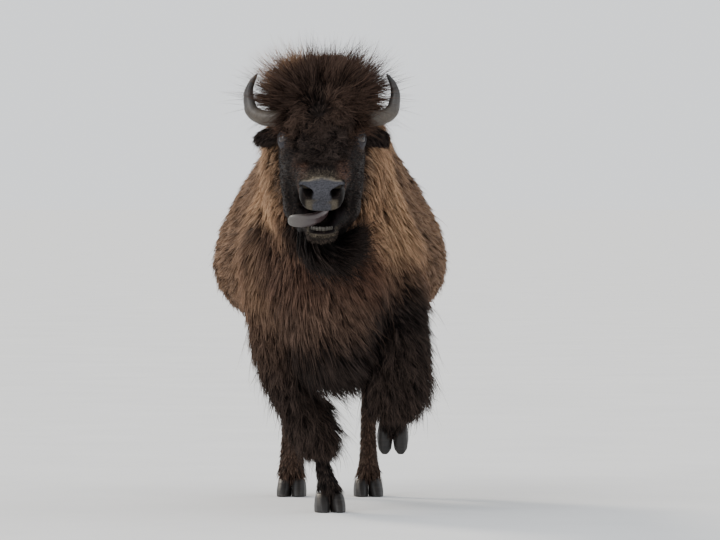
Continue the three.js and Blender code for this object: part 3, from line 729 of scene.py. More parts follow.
def markings(points, share):
    """Shares from 0 to 1 of the marks: tan, black, rust and pale hair in the brown coat. Some of the tan on
    the crown and some of the pale on the ruff are painted light.
    """
    x, y, z = body_places(points)
    u, v, side = head_places(points)
    off_middle = np.abs(side)
    patchy = waves(points, 0.16, 3)
    fine = waves(points, 0.06, 4)
    front = fade(-0.35, -0.60, y)
    trunk = of(share, "neck", "shoulders", "chest", "barrel", "rump")
    crown = of(share, "crown")
    throat = of(share, "neck", "chest")
    ruff = front * of(share, "neck", "chest", "shoulders")
    flanks = fade(0.10, 0.24, off_middle)
    right_neck = between(x, -0.34, -0.15, 0.03) * between(z, 1.00, 1.27, 0.05)

    tan = sum(amount * of(share, part) for part, amount in TAN_SHARE.items())
    tan += 0.14 * of(share, "chest") * flanks * fade(0.60, 0.85, z)
    tan += 0.90 * ruff * right_neck
    tan += 0.15 * ruff * between(x, -0.30, -0.20, 0.03) * between(z, 0.70, 1.00, 0.06)
    tan += ruff * fade(0.07, 0.14, x) * fade(0.80, 0.96, z)
    tan -= 0.10 * ruff * between(x, -0.32, -0.16, 0.03) * between(z, 0.78, 0.98, 0.04)
    tan += 0.07 * patchy * trunk
    tan *= 1 - 0.8 * trunk * fade(0.76, 0.56, z)
    # Painted highlight: the top of the crown, towards the back on her right, is coloured tan instead of
    # black, as if lit from behind.
    backlit = fade(1.36, 1.41, z) * fade(0.0, -0.06, side) * fade(-1.08, -0.98, y)
    tan += 0.80 * crown * backlit

    black = sum(amount * of(share, part) for part, amount in BLACK_SHARE.items())
    right_forearm = fade(0.04, -0.04, x) * fade(0.42, 0.62, z)
    black += 0.90 * of(share, "foreleg_upper") * (1 - 0.6 * right_forearm)
    crown_black = 0.60 - 0.25 * fade(0.08, 0.20, off_middle) + 0.14 * patchy + 0.12 * fine
    # The painted backlight also takes black out of the crown's top.
    black += crown * (crown_black - 0.6 * backlit)
    middle_of_brow = fade(0.095, 0.045, off_middle) * fade(1.32, 1.24, z)
    brow_black = 0.50 + 0.42 * middle_of_brow + 0.12 * fade(1.28, 1.20, z) + 0.10 * fine
    black += of(share, "forehead") * brow_black
    low_edge = 0.60 + 0.16 * fade(0.06, 0.16, x) - 0.09 * fade(-0.10, -0.20, x) + 0.03 * patchy
    under_chest = fade(low_edge + 0.09, low_edge - 0.07, z)
    black += of(share, "chest", "shoulders") * front * under_chest
    by_beard = between(side, -0.115, -0.04, 0.02) * between(z, 0.88, 0.97, 0.02)
    black += 0.7 * throat * front * by_beard
    black += of(share, "chest") * 0.12 * (1 - flanks) * fade(1.05, 0.80, z)
    black += of(share, "neck") * 0.22 * fade(0.15, 0.08, off_middle) * fade(1.15, 0.95, z)
    black += trunk * 0.40 * fade(0.74, 0.56, z) * (1 - front)
    beside_bridge = between(u, 0.13, 0.32, 0.03) * between(off_middle, 0.042, 0.090, 0.015)
    beside_bridge *= fade(-0.06, -0.02, v)
    black -= 0.50 * of(share, "head") * beside_bridge * (0.8 + 0.4 * fine)
    black -= 0.35 * of(share, "head", "crown", "forehead") * near_eyes(points, 0.075)

    rust = crown * (0.25 + 0.75 * fade(0.06, 0.18, side)) * (0.8 + 0.3 * patchy)
    rust += 0.45 * of(share, "forehead") * fade(0.3, 1.2, fine)
    rust += 0.45 * of(share, "head") * beside_bridge
    rust += 0.30 * ruff * fade(-0.2, 1.0, waves(points, 0.22, 9))
    rust += 0.20 * throat * between(z, 0.72, 0.98, 0.05) * fade(0.20, 0.13, off_middle)

    pale = of(share, "head", "nose_pad", "lower_jaw") * pale_hair(points)
    # Painted light: this pale on the ruff beside the head lightens the shade that the head and horns cast
    # there, over the hair's own tan.
    pale += 0.16 * ruff * right_neck
    pale += 0.10 * ruff * fade(0.10, 0.16, x) * fade(0.84, 0.96, z)
    return [np.clip(mark, 0, 1) for mark in (tan, black, rust, pale)]


def top_of_nose(x):
    """The u where hair gives way to the bare pad, which reaches highest in the middle."""
    return 0.272 + 0.024 * (x / 0.065) ** 2


def pale_hair(points):
    """Where the short hair of lips, chin and the rim of the nose is pale."""
    u, v, x = head_places(points)
    over = np.abs(x)
    pale = 0.38 * between(over, 0.030, 0.050, 0.006) * between(v, -0.060, -0.006, 0.008) * (u > 0.30)
    pale += 0.5 * fade(0.29, 0.31, u) * between(v, -0.066, -0.055, 0.004) * (over < 0.055)
    chin = fade(0.19, 0.24, u) * between(v, -0.205, -0.166, 0.010) * fade(0.052, 0.040, over)
    lower_lip = fade(0.24, 0.27, u) * between(v, -0.163, -0.151, 0.003)
    pale += 0.04 * chin + 0.30 * lower_lip
    pale += 0.12 * between(u, 0.235, 0.276, 0.012) * fade(0.065, 0.040, over) * (v > 0)
    rim = between(u - top_of_nose(x), -0.007, 0.006, 0.003) * fade(0.068, 0.055, over)
    return np.clip(pale + 0.65 * rim * (v > 0.01), 0, 1)


def bare_skin(points, normals):
    """Shares from 0 to 1 of bare nose, lids and lips, and of the wet lining of the mouth, which is coloured
    near black as painted shade.
    """
    u, v, x = head_places(points)
    over = np.abs(x)
    top = top_of_nose(x)
    bar = fade(top - 0.003, top + 0.003, u) * fade(0.076, 0.070, over)
    bar *= fade(0.018, 0.024, v)
    stem = fade(0.29, 0.30, u) * fade(0.033, 0.027, over) * between(v, -0.054, 0.030, 0.004)
    bare = np.maximum(np.maximum(bar, stem), 0.8 * near_eyes(points, 0.046))
    lips = fade(0.17, 0.21, u) * fade(0.012, 0.004, np.abs(v + 0.104) - 0.042)
    lips *= fade(0.062, 0.054, over) * (1 - bare)
    # Inside the open mouth: the lining that faces up or down gets the near-black painted shade.
    inside = fade(0.09, 0.12, u) * (np.abs(v + 0.110) < 0.052) * (over < 0.074) * (u < 0.315)
    wet = inside * fade(0.35, 0.60, np.abs(normals @ BROW))
    return np.clip(bare, 0, 1), np.clip(np.maximum(wet, 0.85 * lips), 0, 1)


# ---- The coat ----


def lie_of_coat(points, normals, share):
    """The way the hair points along the skin."""
    side = points[:, 0] - HEAD_X
    out = np.clip(side / 0.16, -1.4, 1.4)
    fan = np.clip((points[:, 2] - 1.30) / 0.12, -0.3, 1.1)
    sweep = fade(-0.09, 0.09, side)
    ways = {
        "crown": (1.5 * out, 0.15, fan),
        "forehead": (out, -0.2, -0.8),
        "head": (0.7 * out, -0.75 * FACE[1], -0.75 * FACE[2] - 0.35),
        "nose_pad": FACE,
        "lower_jaw": (0.2 * out, -0.9 * FACE[1], -0.9 * FACE[2] - 0.6),
        "beard": (0.05 + 1.05 * sweep, 0.10, -0.95 + 0.80 * sweep),
        "neck": (0.75 * out, 0.7, -0.85),
        "shoulders": (0.20 * out, 0.75, -0.75),
        "chest": (0.30 * out + 0.32, 0.15, -0.85),
        "barrel": (0.1 * out, 0.9, -0.55),
        "rump": (0.1 * out, 0.8, -0.70),
        "ear": (0.6 * np.sign(side), 0.1, -0.9),
        "foreleg_upper": (0.20, 0.20, -1.0),
        "foreleg_lower": (0, 0.1, -1.0),
        "hind_upper": (0, 0.35, -1.0),
        "hind_lower": (0, 0.05, -1.0),
        "tail": (0, 0.2, -1.0),
        "tail_tuft": (0, 0, -1.0),
    }
    swirl = np.stack([waves(points, 0.11, seed) for seed in (21, 22, 23)], 1)
    total = 0.14 * swirl
    for name, way in ways.items():
        total += share[:, PARTS[name], None] * unit(np.stack(np.broadcast_arrays(*way, side)[:3], 1))
    return unit(square_to(total, normals))


def shortened(length, where, limit):
    return np.where(where, np.minimum(length, limit), length)


def longest(points, share):
    """How long a tuft may be: short round the eyes, and no lower than the coat hangs over the knees."""
    x, _, z = body_places(points)
    by_eye = (near_eyes(points, 0.160) > 0.75) & (z < 1.266)
    off_eyes = np.maximum(far_from(EYE.values(), points) - 0.034, 0)
    length = np.where(by_eye, 0.014 + 0.7 * off_eyes, 1.0)
    knee = np.where(x < LEG_SPLIT, KNEE_HEIGHT["right"], KNEE_HEIGHT["left"])
    length = shortened(length, of(share, "foreleg_upper") > 0.3, z - knee + 0.012)
    aside = np.maximum(fade(1.44, 1.34, z), fade(0.04, 0.12, np.abs(x - HEAD_X)))
    length = shortened(length, of(share, "crown") > 0.3, 0.053 + 0.082 * aside)
    length = shortened(length, of(share, "lower_jaw") > 0.2, 0.012)
    length = shortened(length, of(share, "beard") > 0.5, 0.030 + 0.095 * fade(0.94, 0.90, z))
    return np.maximum(length, SHORTEST)


class Roots:
    """Chosen places on the skin, with the parts they belong to, and the coat's style and lie there."""

    def __init__(self, surface, weight, count, seed):
        self.dice = np.random.default_rng(seed)
        self.count = count
        chance = surface.areas * weight[surface.triangles].mean(1)
        chosen = self.dice.choice(len(chance), count, p=chance / chance.sum())
        spot = self.dice.dirichlet((1, 1, 1), count)
        corners = surface.triangles[chosen]

        def at(values):
            return np.einsum("nk,nkd->nd", spot, values[corners])

        self.points = at(surface.points)
        self.normals = unit(at(surface.normals))
        self.share = at(surface.share)
        by_horn = fade(0.090, 0.060, far_from(HORN_ROOTS, self.points))
        self.collar = by_horn * fade(1.278, 1.296, self.points[:, 2])
        self.style = self._style()
        aside = np.sign(self.points[:, :1] - HEAD_X) * SIDE + 0.30 * UP
        aside = unit(square_to(aside, self.normals))
        lie = lie_of_coat(self.points, self.normals, self.share)
        self.lie = unit(blend(lie, aside, self.collar[:, None]))

    def _style(self):
        """The style of the parts, changed by the claws, under the chest, at the parting and by the horns."""
        z = self.points[:, 2]
        style = dict(zip(STYLE_KEYS, (self.share @ STYLE_TABLE).T))
        from_claws = far_from([middle(node) for node in MAIN_CLAWS], self.points)
        style["length"] += 0.018 * fade(0.090, 0.0675, from_claws)
        style["length"] += 0.045 * of(self.share, "chest") * fade(0.62, 0.54, z)
        style["length"] = np.minimum(style["length"], longest(self.points, self.share))
        parting = 4 * of(self.share, "crown") * of(self.share, "forehead")
        low_crown = of(self.share, "crown") * fade(1.37, 1.29, z)
        style["length"] = blend(style["length"], PARTING_LENGTH, parting)
        style["spread"] += 1.6 * parting
        style["wave"] += 0.006 * parting
        style["settle"] += 15 * parting - 32 * low_crown
        style["lift"] -= 30 * low_crown
        for key, value in HORN_COLLAR.items():
            style[key] = blend(style[key], value, self.collar)
        return style


def tuft_lines(roots, rows, per_lock, stray):
    """Every tuft's middle line, as (tuft, row, xyz), its way across, its width and its lock's tone."""
    n = roots.count
    dice = roots.dice
    style = roots.style
    heads = dice.choice(n, max(1, n // per_lock), replace=False)  # the tufts in the middle of the locks
    head = heads[nearest_of(roots.points[heads], roots.points)]
    lock_dice = dice.normal(size=(n, 4))[head]

    def varied(key, column, by_lock, by_tuft):
        return style[key] * (1 + by_lock * lock_dice[:, column] + by_tuft * dice.normal(size=n))

    length = np.clip(varied("length", 0, 0.13, 0.12), 0.45 * style["length"], 1.6 * style["length"])
    astray = dice.random(n) < stray
    length *= np.where(astray, STRAY_LENGTH, 1.0)
    length = np.minimum(length, HIGHEST_TIP - roots.points[:, 2])
    turn = style["spread"] * (lock_dice[:, 1] + 0.6 * dice.normal(size=n))
    lie = unit(roots.lie + turn[:, None] * np.cross(roots.lie, roots.normals))
    across = unit(np.cross(lie, roots.normals))
    lift = np.radians(varied("lift", 2, 0.18, 0.15))
    settle = np.radians(varied("settle", 2, 0.30, 0.25))
    phase = 2 * math.pi * (dice.random(n)[head] + 0.08 * dice.normal(size=n))
    pull = square_to(roots.points[head] - roots.points, roots.normals)
    gather = np.where(astray, 0.0, style["gather"])[:, None] * pull
    lines = np.empty((n, rows + 1, 3))
    lines[:, 0] = roots.points - 0.002 * roots.normals
    step = (length / rows)[:, None]
    straight = lines[:, 0].copy()
    for row in range(1, rows + 1):
        angle = settle + (lift - settle) * (1 - (row - 0.5) / rows) ** 2
        straight += step * (lie * np.cos(angle)[:, None] + roots.normals * np.sin(angle)[:, None])
        t = row / rows
        turned = 2 * math.pi * style["turns"] * t + phase
        swing = style["wave"] * t * np.sin(turned)
        heave = 0.5 * style["wave"] * t * np.cos(turned)
        lines[:, row] = straight + gather * t**1.3 + across * swing[:, None] + roots.normals * heave[:, None]
    width = style["width"] * (1 + 0.2 * dice.normal(size=n)).clip(0.5, 1.6) * np.where(astray, 0.5, 1.0)
    return lines, across, width, lock_dice[:, 3]


def tuft_tones(roots, lock_tone):
    """How much lighter or darker each tuft is than the coat round it."""
    share = roots.share
    tone = 0.6 * lock_tone + 0.6 * roots.dice.normal(size=roots.count)
    tone *= 1.25 + 1.2 * of(share, "forehead") + 0.4 * of(share, "crown")
    tone *= 1 - 0.45 * of(share, "barrel", "rump", "shoulders")
    tone -= of(share, "beard") + 0.5 * of(share, "head")
    # Painted glints: about one forehead tuft in six gets much lighter tips, as highlights of light on the
    # curls.
    glint = roots.dice.random(roots.count) < 0.16
    return tone + 2.4 * glint * of(share, "forehead")


def tuft_mesh(name, lines, across, width, roots, unwrap, tone):
    """Flat tapering blades along the lines, joined in one mesh, with their attributes and OFBake map."""
    n, levels, _ = lines.shape
    rows = levels - 1
    ahead = np.diff(lines, axis=1)
    ahead = unit(np.concatenate([ahead, ahead[:, -1:]], axis=1))
    wide = unit(square_to(across[:, None, :], ahead))
    roll = roots.dice.normal(scale=0.45, size=n)[:, None, None]
    wide = wide * np.cos(roll) + np.cross(ahead, wide) * np.sin(roll)
    s = np.arange(rows) / rows
    taper = (1 - s) ** 0.7 * (0.75 + 0.5 * np.sin(math.pi * np.minimum(s + 0.15, 1)))
    half = (width / 2)[:, None, None] * taper[None, :, None]
    corners = 2 * rows + 1
    points = np.empty((n, corners, 3))
    points[:, 0:-1:2] = lines[:, :rows] - wide[:, :rows] * half
    points[:, 1:-1:2] = lines[:, :rows] + wide[:, :rows] * half
    points[:, -1] = lines[:, rows]
    faces = []
    for k in range(0, 2 * rows - 2, 2):
        faces += [(k, k + 1, k + 3), (k, k + 3, k + 2)]
    faces.append((2 * rows - 2, 2 * rows - 1, 2 * rows))
    triangles = (np.array(faces)[None] + (np.arange(n) * corners)[:, None, None]).reshape(-1, 3)
    ob = mesh_object(name, points.reshape(-1, 3), triangles)
    along = np.append(np.repeat(s, 2), 1.0)
    store(ob, "along", np.tile(along, n))
    store(ob, "tone", np.repeat(tone, corners))
    for mark, values in zip(MARKS, markings(roots.points, roots.share)):
        store(ob, mark, np.repeat(values, corners))
    sides = np.append(np.tile([0.0, 1.0], rows), 0.5)
    bake_map(ob, unwrap(roots.points), np.stack([sides, along], 1))
    return ob


def bake_map(ob, places, corners):
    """Each tuft is a small patch of the map, at its root's place on the unwrapped skin."""
    low = places.min(0)
    high = places.max(0)
    spot = TUFT_PATCH + (places - low) / (high - low) * (1 - 2 * TUFT_PATCH)
    uv = (spot[:, None] + (corners - 0.5) * TUFT_PATCH).reshape(-1, 2)
    point_of = values_of(ob.data.loops, "vertex_index", 1, np.int32)[:, 0]
    fill(ob.data.uv_layers.new(name="OFBake").data, "uv", uv[point_of])


def round_axis(centre, axis, start):
    """An unwrap: the angle about an axis, cut open at `start`, and the way along it."""
    start = unit(square_to(start, axis))
    third = np.cross(axis, start)

    def unwrap(points):
        away = points - centre
        return np.stack([np.arctan2(away @ third, -(away @ start)), away @ axis], 1)

    return unwrap


def round_dome(centre):
    """An unwrap of a dome: the angle away from straight up spreads out evenly from the middle of the map."""

    def unwrap(points):
        way = unit(points - centre)
        return np.arccos(np.clip(way[:, 2], -1, 1))[:, None] * unit(way[:, :2])

    return unwrap


def make_coat(surface):
    """The coat's pieces, each a mesh of tufts."""
    x, _, z = body_places(surface.points)
    bare, wet = bare_skin(surface.points, surface.normals)
    hairy = (1 - bare) * (1 - wet) * (near_eyes(surface.points, 0.084) < 0.999)

    def on(*names):
        return np.isin(surface.part, [PARTS[name] for name in names]) * hairy

    by_horn = 1 + 2.5 * fade(0.080, 0.050, far_from(HORN_ROOTS, surface.points))
    by_horn += 8 * of(surface.share, "crown") * of(surface.share, "forehead")
    muzzle = 1 + 2.0 * fade(0.22, 0.28, head_places(surface.points)[0])
    hanging = fade(0.93, 0.91, z + 0.5 * np.clip(x - HEAD_X + 0.01, 0, 0.1))
    right = (x < HEAD_X + 0.06).astype(float)
    face = on("head", "lower_jaw", "nose_pad") * muzzle
    legs = on("foreleg_upper")
    shanks = on("hind_lower", "foreleg_lower")
    trunk = round_axis(on_body(0, 0, 0.95), BACK, UP)
    neck = round_axis(on_body(HEAD_X, 0, 1.12), BACK, UP)

    def standing(place):
        return round_axis(place, UP, BACK)

    # name, where, tufts, rows in a tuft, tufts in a lock, share of long strays, unwrap
    plan = [
        ("crown", on("crown") * by_horn, 14500, 6, 16, 0.22, round_dome(on_body(HEAD_X, -1.0, 1.30))),
        ("forehead", on("forehead"), 8500, 9, 34, 0.0, round_dome(on_body(HEAD_X, -0.9, 1.20))),
        ("face", face, 40000, 2, 5, 0.0, round_axis(on_head(0, -0.1), FACE, -BROW)),
        ("ears", on("ear"), 4000, 4, 8, 0.04, round_axis(middle("head"), SIDE, UP)),
        ("beard", on("beard") * hanging, 11500, 6, 14, 0.04, standing(middle("beard"))),
        ("neck", on("neck"), 22500, 4, 9, 0.02, neck),
        ("chest", on("chest"), 21000, 4, 10, 0.03, standing(on_body(0, -0.45, 0))),
        ("hump", on("shoulders"), 25000, 3, 9, 0.02, trunk),
        ("barrel", on("barrel"), 24000, 3, 9, 0.02, trunk),
        ("rump", on("rump"), 22000, 3, 9, 0.02, trunk),
        ("foreleg_right", legs * right, 11000, 4, 12, 0.04, standing(middle("foreleg_right_upper"))),
        ("foreleg_left", legs * (1 - right), 10000, 4, 12, 0.04, standing(middle("foreleg_left_upper"))),
        ("hind_legs", on("hind_upper"), 10000, 3, 8, 0.02, standing(on_body(0, 0.55, 0))),
        ("shanks", shanks, 12000, 2, 5, 0.0, standing(on_body(0, 0, 0))),
        ("tail", on("tail", "tail_tuft"), 3200, 5, 10, 0.03, round_axis(middle("tail_tuft"), UP, -BACK)),
    ]
    pieces = []
    for place, (name, weight, count, rows, per_lock, stray, unwrap) in enumerate(plan):
        roots = Roots(surface, weight, count, seed=100 + place)
        lines, across, width, lock_tone = tuft_lines(roots, rows, per_lock, stray)
        tone = tuft_tones(roots, lock_tone)
        pieces.append(tuft_mesh(f"coat_{name}", lines, across, width, roots, unwrap, tone))
    return pieces


# ---- Bare pieces: horns, eyes, claws, tongue and teeth ----


def on_spline(rows, steps):
    """Rows of numbers with `steps` to each stretch between two, on a smooth curve through them all."""
    rows = np.array(rows, float)
    padded = np.vstack([2 * rows[0] - rows[1], rows, 2 * rows[-1] - rows[-2]])
    t = (np.arange(steps) / steps)[:, None]
    out = []
    for k in range(len(rows) - 1):
        a, b, c, d = padded[k : k + 4]
        out.append(b + 0.5 * t * (c - a + t * (2 * a - 5 * b + 4 * c - d + t * (3 * (b - c) + d - a))))
    return np.vstack([*out, rows[-1]])


def tube(name, centres, outline, up):
    """A closed tube: `outline(row)` gives each ring as (side, up) offsets from its centre."""
    ahead = unit(np.gradient(centres, axis=0))
    side = unit(np.cross(ahead, up))
    over = np.cross(side, ahead)
    rings = []
    for row, centre in enumerate(centres):
        offsets = outline(row)
        rings.append(centre + offsets[:, :1] * side[row] + offsets[:, 1:] * over[row])
    count = len(rings[0])
    last = (len(rings) - 1) * count
    cap = last + count
    faces = []
    for j in range(count):
        following = (j + 1) % count
        for start in range(0, last, count):
            a = start + j
            b = start + following
            faces += [(a, b, b + count), (a, b + count, a + count)]
        faces.append((cap, following, j))
        faces.append((cap + 1, last + j, last + following))
    ob = mesh_object(name, np.vstack([*rings, rings[0].mean(0), rings[-1].mean(0)]), np.array(faces))
    with opened(ob.data) as bm:
        bmesh.ops.recalc_face_normals(bm, faces=bm.faces)
    along = np.repeat(np.linspace(0, 1, len(rings)), count)
    store(ob, "along", np.append(along, [0.0, 1.0]))
    return ob


def around(count):
    """Points on a circle of radius 1."""
    angle = np.arange(count) / count * 2 * math.pi
    return np.stack([np.cos(angle), np.sin(angle)], 1)


def make_horn(side):
    """A horn with low growth ridges that fade towards its smooth tip."""
    spread = 0.252
    rise = 1.285
    route = [  # out from the middle of the head, y on the body, z, radius
        (0.088, -0.988, rise + 0.004, 0.0250),
        (0.145, -0.988, rise - 0.001, 0.0260),
        (0.190, -0.981, rise + 0.002, 0.0245),
        (spread - 0.029, -0.971, rise + 0.021, 0.0220),
        (spread - 0.019, -0.963, rise + 0.050, 0.0185),
        (spread - 0.016, -0.957, rise + 0.080, 0.0150),
        (spread - 0.024, -0.954, rise + 0.110, 0.0108),
        (spread - 0.038, -0.955, rise + 0.134, 0.0058),
        (spread - 0.045, -0.956, rise + 0.143, 0.0016),
    ]
    out, y, z, radius = on_spline(route, 14).T
    centres = np.stack([HANDS[side] * out + HEAD_X, y + BODY_ORIGIN_Y, z], 1)
    far = np.append(0, np.cumsum(np.linalg.norm(np.diff(centres, axis=0), axis=1)))
    turned = far / 0.0062 * 2 * math.pi + waves(centres, 0.03, 5)
    ridge = 0.0009 * fade(0.20, 0.05, far) * np.sin(turned)

    def outline(row):
        ring = around(36)
        grain = 0.0004 * waves(np.hstack([ring * 0.02, np.full((36, 1), far[row])]), 0.010, 6)
        return ring * (radius[row] + ridge[row] + grain[:, None] * min(1, radius[row] / 0.01))

    return tube(f"horn_{side}_piece", centres, outline, -BACK)


def make_eye(side):
    """The eyeball with its clear bulge. `pupil` is below 1 in the pupil; `iris` is 1 at the iris' rim."""
    gaze, along, over = eye_axes(HANDS[side])
    mesh = bpy.data.meshes.new(f"eye_{side}_piece")
    with opened(mesh) as bm:
        bmesh.ops.create_icosphere(bm, subdivisions=5, radius=1)
        way = np.array([vert.co for vert in bm.verts])
        turned = np.arccos(np.clip(way @ gaze, -1, 1))
        reach = (EYE_RADIUS - 0.0012) * (1 + 0.055 * np.exp(-((turned / 0.50) ** 2)))
        for vert, point in zip(bm.verts, EYE[side] + way * reach[:, None]):
            vert.co = point
        smooth_faces(bm)
    ob = placed(mesh.name, mesh)
    store(ob, "iris", turned / 1.05)
    pupil = np.hypot(way @ along / 0.42, way @ over / 0.20)
    store(ob, "pupil", np.where(turned < 1.2, pupil, 9.0))
    return ob


def make_claw(node):
    """The node's solid with its facets and edges rounded off."""
    step = 0.0025
    blur = 0.0035
    swell = 0.0016
    low, high = (np.array(corner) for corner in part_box(node))
    clay = Clay(low - 4 * blur, high + 4 * blur, step)
    clay.values = blurred(clay.distance_to(*node_mesh(node), reach=4 * blur), blur / step) - swell
    points, quads = clay.surface()
    points[:, 2] = np.maximum(points[:, 2], low[2])
    return mesh_object(f"{node}_piece", points, quads)


def make_tongue():
    """The tongue lies out over the teeth to her right, its blade on edge, with a shallow middle groove."""
    route = [  # u, v and x on the head, half width, half thickness
        (0.100, -0.136, 0.012, 0.0220, 0.0150),
        (0.165, -0.136, 0.012, 0.0230, 0.0150),
        (0.222, -0.130, 0.006, 0.0225, 0.0140),
        (0.266, -0.120, -0.016, 0.0225, 0.0125),
        (0.291, -0.112, -0.052, 0.0225, 0.0105),
        (0.296, -0.109, -0.084, 0.0205, 0.0085),
        (0.295, -0.109, -0.101, 0.0145, 0.0062),
        (0.294, -0.109, -0.107, 0.0050, 0.0025),
    ]
    line = on_spline(route, 10)
    centres = np.array([on_head(*row[:3]) for row in line])

    def outline(row):
        ring = around(28)
        half, thick = line[row, 3:]
        shape = np.sign(ring) * np.abs(ring) ** 0.85
        groove = 0.0028 * np.exp(-((shape[:, 1] / 0.22) ** 2)) * (shape[:, 0] < 0) * min(1, half / 0.018)
        shape *= (thick, half)
        shape[:, 0] += groove
        return shape

    return tube("tongue_piece", centres, outline, unit(np.array([0.45, -0.35, 1])))


def make_teeth():
    """Eight lower front teeth, worn and slightly uneven, side by side on the arc of the jaw."""
    dice = np.random.default_rng(41)
    count = 8
    spread = 1.06
    mesh = bpy.data.meshes.new("teeth")
    with opened(mesh) as bm:
        for k in range(count):
            turn = spread * (2 * (k + 0.5) / count - 1)
            out = math.cos(turn) * FACE + math.sin(turn) * SIDE
            across = np.cross(out, BROW)
            width = 0.0054 * (1 - 0.16 * abs(turn))
            height = 0.014 - 0.0030 * abs(turn) + 0.0008 * dice.normal()
            base = JAW_ARC - (0.151 + ARC_DROP * (1 - math.cos(turn))) * BROW + 0.0365 * out
            made = bmesh.ops.create_uvsphere(bm, u_segments=20, v_segments=14, radius=1)["verts"]
            for vert in made:
                a, b, c = (math.copysign(abs(value) ** 0.6, value) for value in vert.co)
                place = base + across * (a * width * (1 + 0.12 * c)) + BROW * (c * height)
                vert.co = place + out * (b * 0.0042 + 0.0022 * c * c)
        smooth_faces(bm)
        bmesh.ops.recalc_face_normals(bm, faces=bm.faces)
    return placed("teeth", mesh)


# ---- Materials ----


def linear(red, green, blue):
    """A colour in linear light from its 0-255 screen values."""

    def channel(value):
        c = value / 255
        return c / 12.92 if c <= 0.04045 else ((c + 0.055) / 1.055) ** 2.4

    return (channel(red), channel(green), channel(blue), 1.0)


# Colours of the hair at root, middle and tip. The tips are lighter partly as the hair's own colour and
# partly as painted light, the light from behind shining through them.
BROWN = (linear(20, 15, 13), linear(68, 53, 45), linear(112, 90, 77))
MARK_COLORS = {
    "tan": (linear(36, 26, 20), linear(131, 99, 73), linear(204, 166, 131)),
    "rust": (linear(24, 15, 13), linear(68, 42, 34), linear(113, 75, 60)),
    "black": (linear(9, 8, 8), linear(26, 22, 21), linear(62, 53, 49)),
    "pale": (linear(56, 51, 44), linear(112, 102, 86), linear(152, 142, 122)),
}


class Nodes:
    """A short way to write a material's nodes. Any value may also be another node's output."""

    def __init__(self, name):
        self.material = bpy.data.materials.new(name)
        self.material.use_nodes = True
        self.tree = self.material.node_tree
        self.shader = self.tree.nodes["Principled BSDF"]

    def feed(self, socket, value):
        if isinstance(value, bpy.types.NodeSocket):
            self.tree.links.new(value, socket)
        else:
            socket.default_value = value

    def node(self, kind, inputs, **settings):
        """A new node with these settings, and with `inputs` in the sockets of those names or places."""
        made = self.tree.nodes.new(f"ShaderNode{kind}")
        for key, value in settings.items():
            setattr(made, key, value)
        for key, value in inputs.items():
            self.feed(made.inputs[key], value)
        return made

    def attribute(self, name):
        return self.node("Attribute", {}, attribute_name=name).outputs["Fac"]

    def place(self):
        return self.node("TexCoord", {}).outputs["Object"]

    def noise(self, scale, detail, stretch=(1, 1, 1)):
        spot = self.node("Mapping", {"Vector": self.place(), "Scale": stretch}).outputs["Vector"]
        values = {"Vector": spot, "Scale": scale, "Detail": detail, "Roughness": 0.6}
        return self.node("TexNoise", values).outputs["Fac"]

    def math(self, operation, a, b):
        return self.node("Math", {0: a, 1: b}, operation=operation).outputs["Value"]

    def plus(self, value, other, amount):
        """The value and this amount of another."""
        return self.math("ADD", value, self.math("MULTIPLY", other, amount))

    def mottled(self, scale, detail, stops, stretch=(1, 1, 1)):
        """A colour from noise."""
        return self.ramp(self.noise(scale, detail, stretch), stops)

    def ramp(self, value, stops):
        """A colour from a value, between the colours at these positions."""
        made = self.node("ValToRGB", {"Fac": value})
        elements = made.color_ramp.elements
        for k, (position, color) in enumerate(stops.items()):
            stop = elements[k] if k < 2 else elements.new(position)
            stop.position = position
            stop.color = color
        return made.outputs["Color"]

    def mix(self, share, a, b, blend_type="MIX"):
        values = {0: share, 6: a, 7: b}
        return self.node("Mix", values, data_type="RGBA", blend_type=blend_type).outputs[2]

    def finished(self, color, bump=(), **values):
        """The material, with its colour, its bump's height, strength and distance, and its other values."""
        self.feed(self.shader.inputs["Base Color"], color)
        if bump:
            made = self.node("Bump", dict(zip(("Height", "Strength", "Distance"), bump)))
            self.feed(self.shader.inputs["Normal"], made.outputs["Normal"])
        for key, value in values.items():
            self.shader.inputs[key.replace("_", " ")].default_value = value
        return self.material


def hair_color(nodes, along):
    """Hair colour from root to tip, by the markings. The lighter tips are partly painted backlight."""

    def shade(colors):
        return nodes.ramp(along, dict(zip((0.0, 0.45, 1.0), colors)))

    color = shade(BROWN)
    for mark, colors in MARK_COLORS.items():
        color = nodes.mix(nodes.attribute(mark), color, shade(colors))
    return color


def coat_material():
    nodes = Nodes("coat")
    along = nodes.plus(nodes.attribute("along"), nodes.attribute("tone"), 0.20)
    along = nodes.plus(along, nodes.math("SUBTRACT", nodes.noise(60, 3), 0.5), 0.5)
    return nodes.finished(hair_color(nodes, along), Roughness=0.60, Specular_IOR_Level=0.03)


def skin_material():
    nodes = Nodes("hide")
    grain = nodes.noise(220, 4, (1, 1, 0.4))
    bare = nodes.attribute("bare")
    slate = nodes.mottled(180, 4, {0.3: linear(46, 46, 50), 0.7: linear(76, 76, 81)})
    light = nodes.mottled(260, 4, {0.3: linear(74, 69, 62), 0.7: linear(140, 132, 118)})
    # Painted shade: the near-black colour of the mouth's lining stands for the shade inside the open mouth;
    # the lips that take part of it are dark of their own.
    inside = nodes.mottled(90, 3, {0.3: linear(7, 5, 6), 0.7: linear(24, 17, 18)})
    color = nodes.mix(bare, hair_color(nodes, nodes.math("MULTIPLY", grain, 0.60)), slate)
    color = nodes.mix(nodes.math("MULTIPLY", nodes.attribute("pale"), 0.8), color, light)
    color = nodes.mix(nodes.attribute("mouth"), color, inside)
    pebble = nodes.node("TexVoronoi", {"Vector": nodes.place(), "Scale": 320}).outputs["Distance"]
    height = nodes.plus(grain, pebble, bare)
    return nodes.finished(color, (height, 0.5, 0.0012), Roughness=0.5, Specular_IOR_Level=0.04)


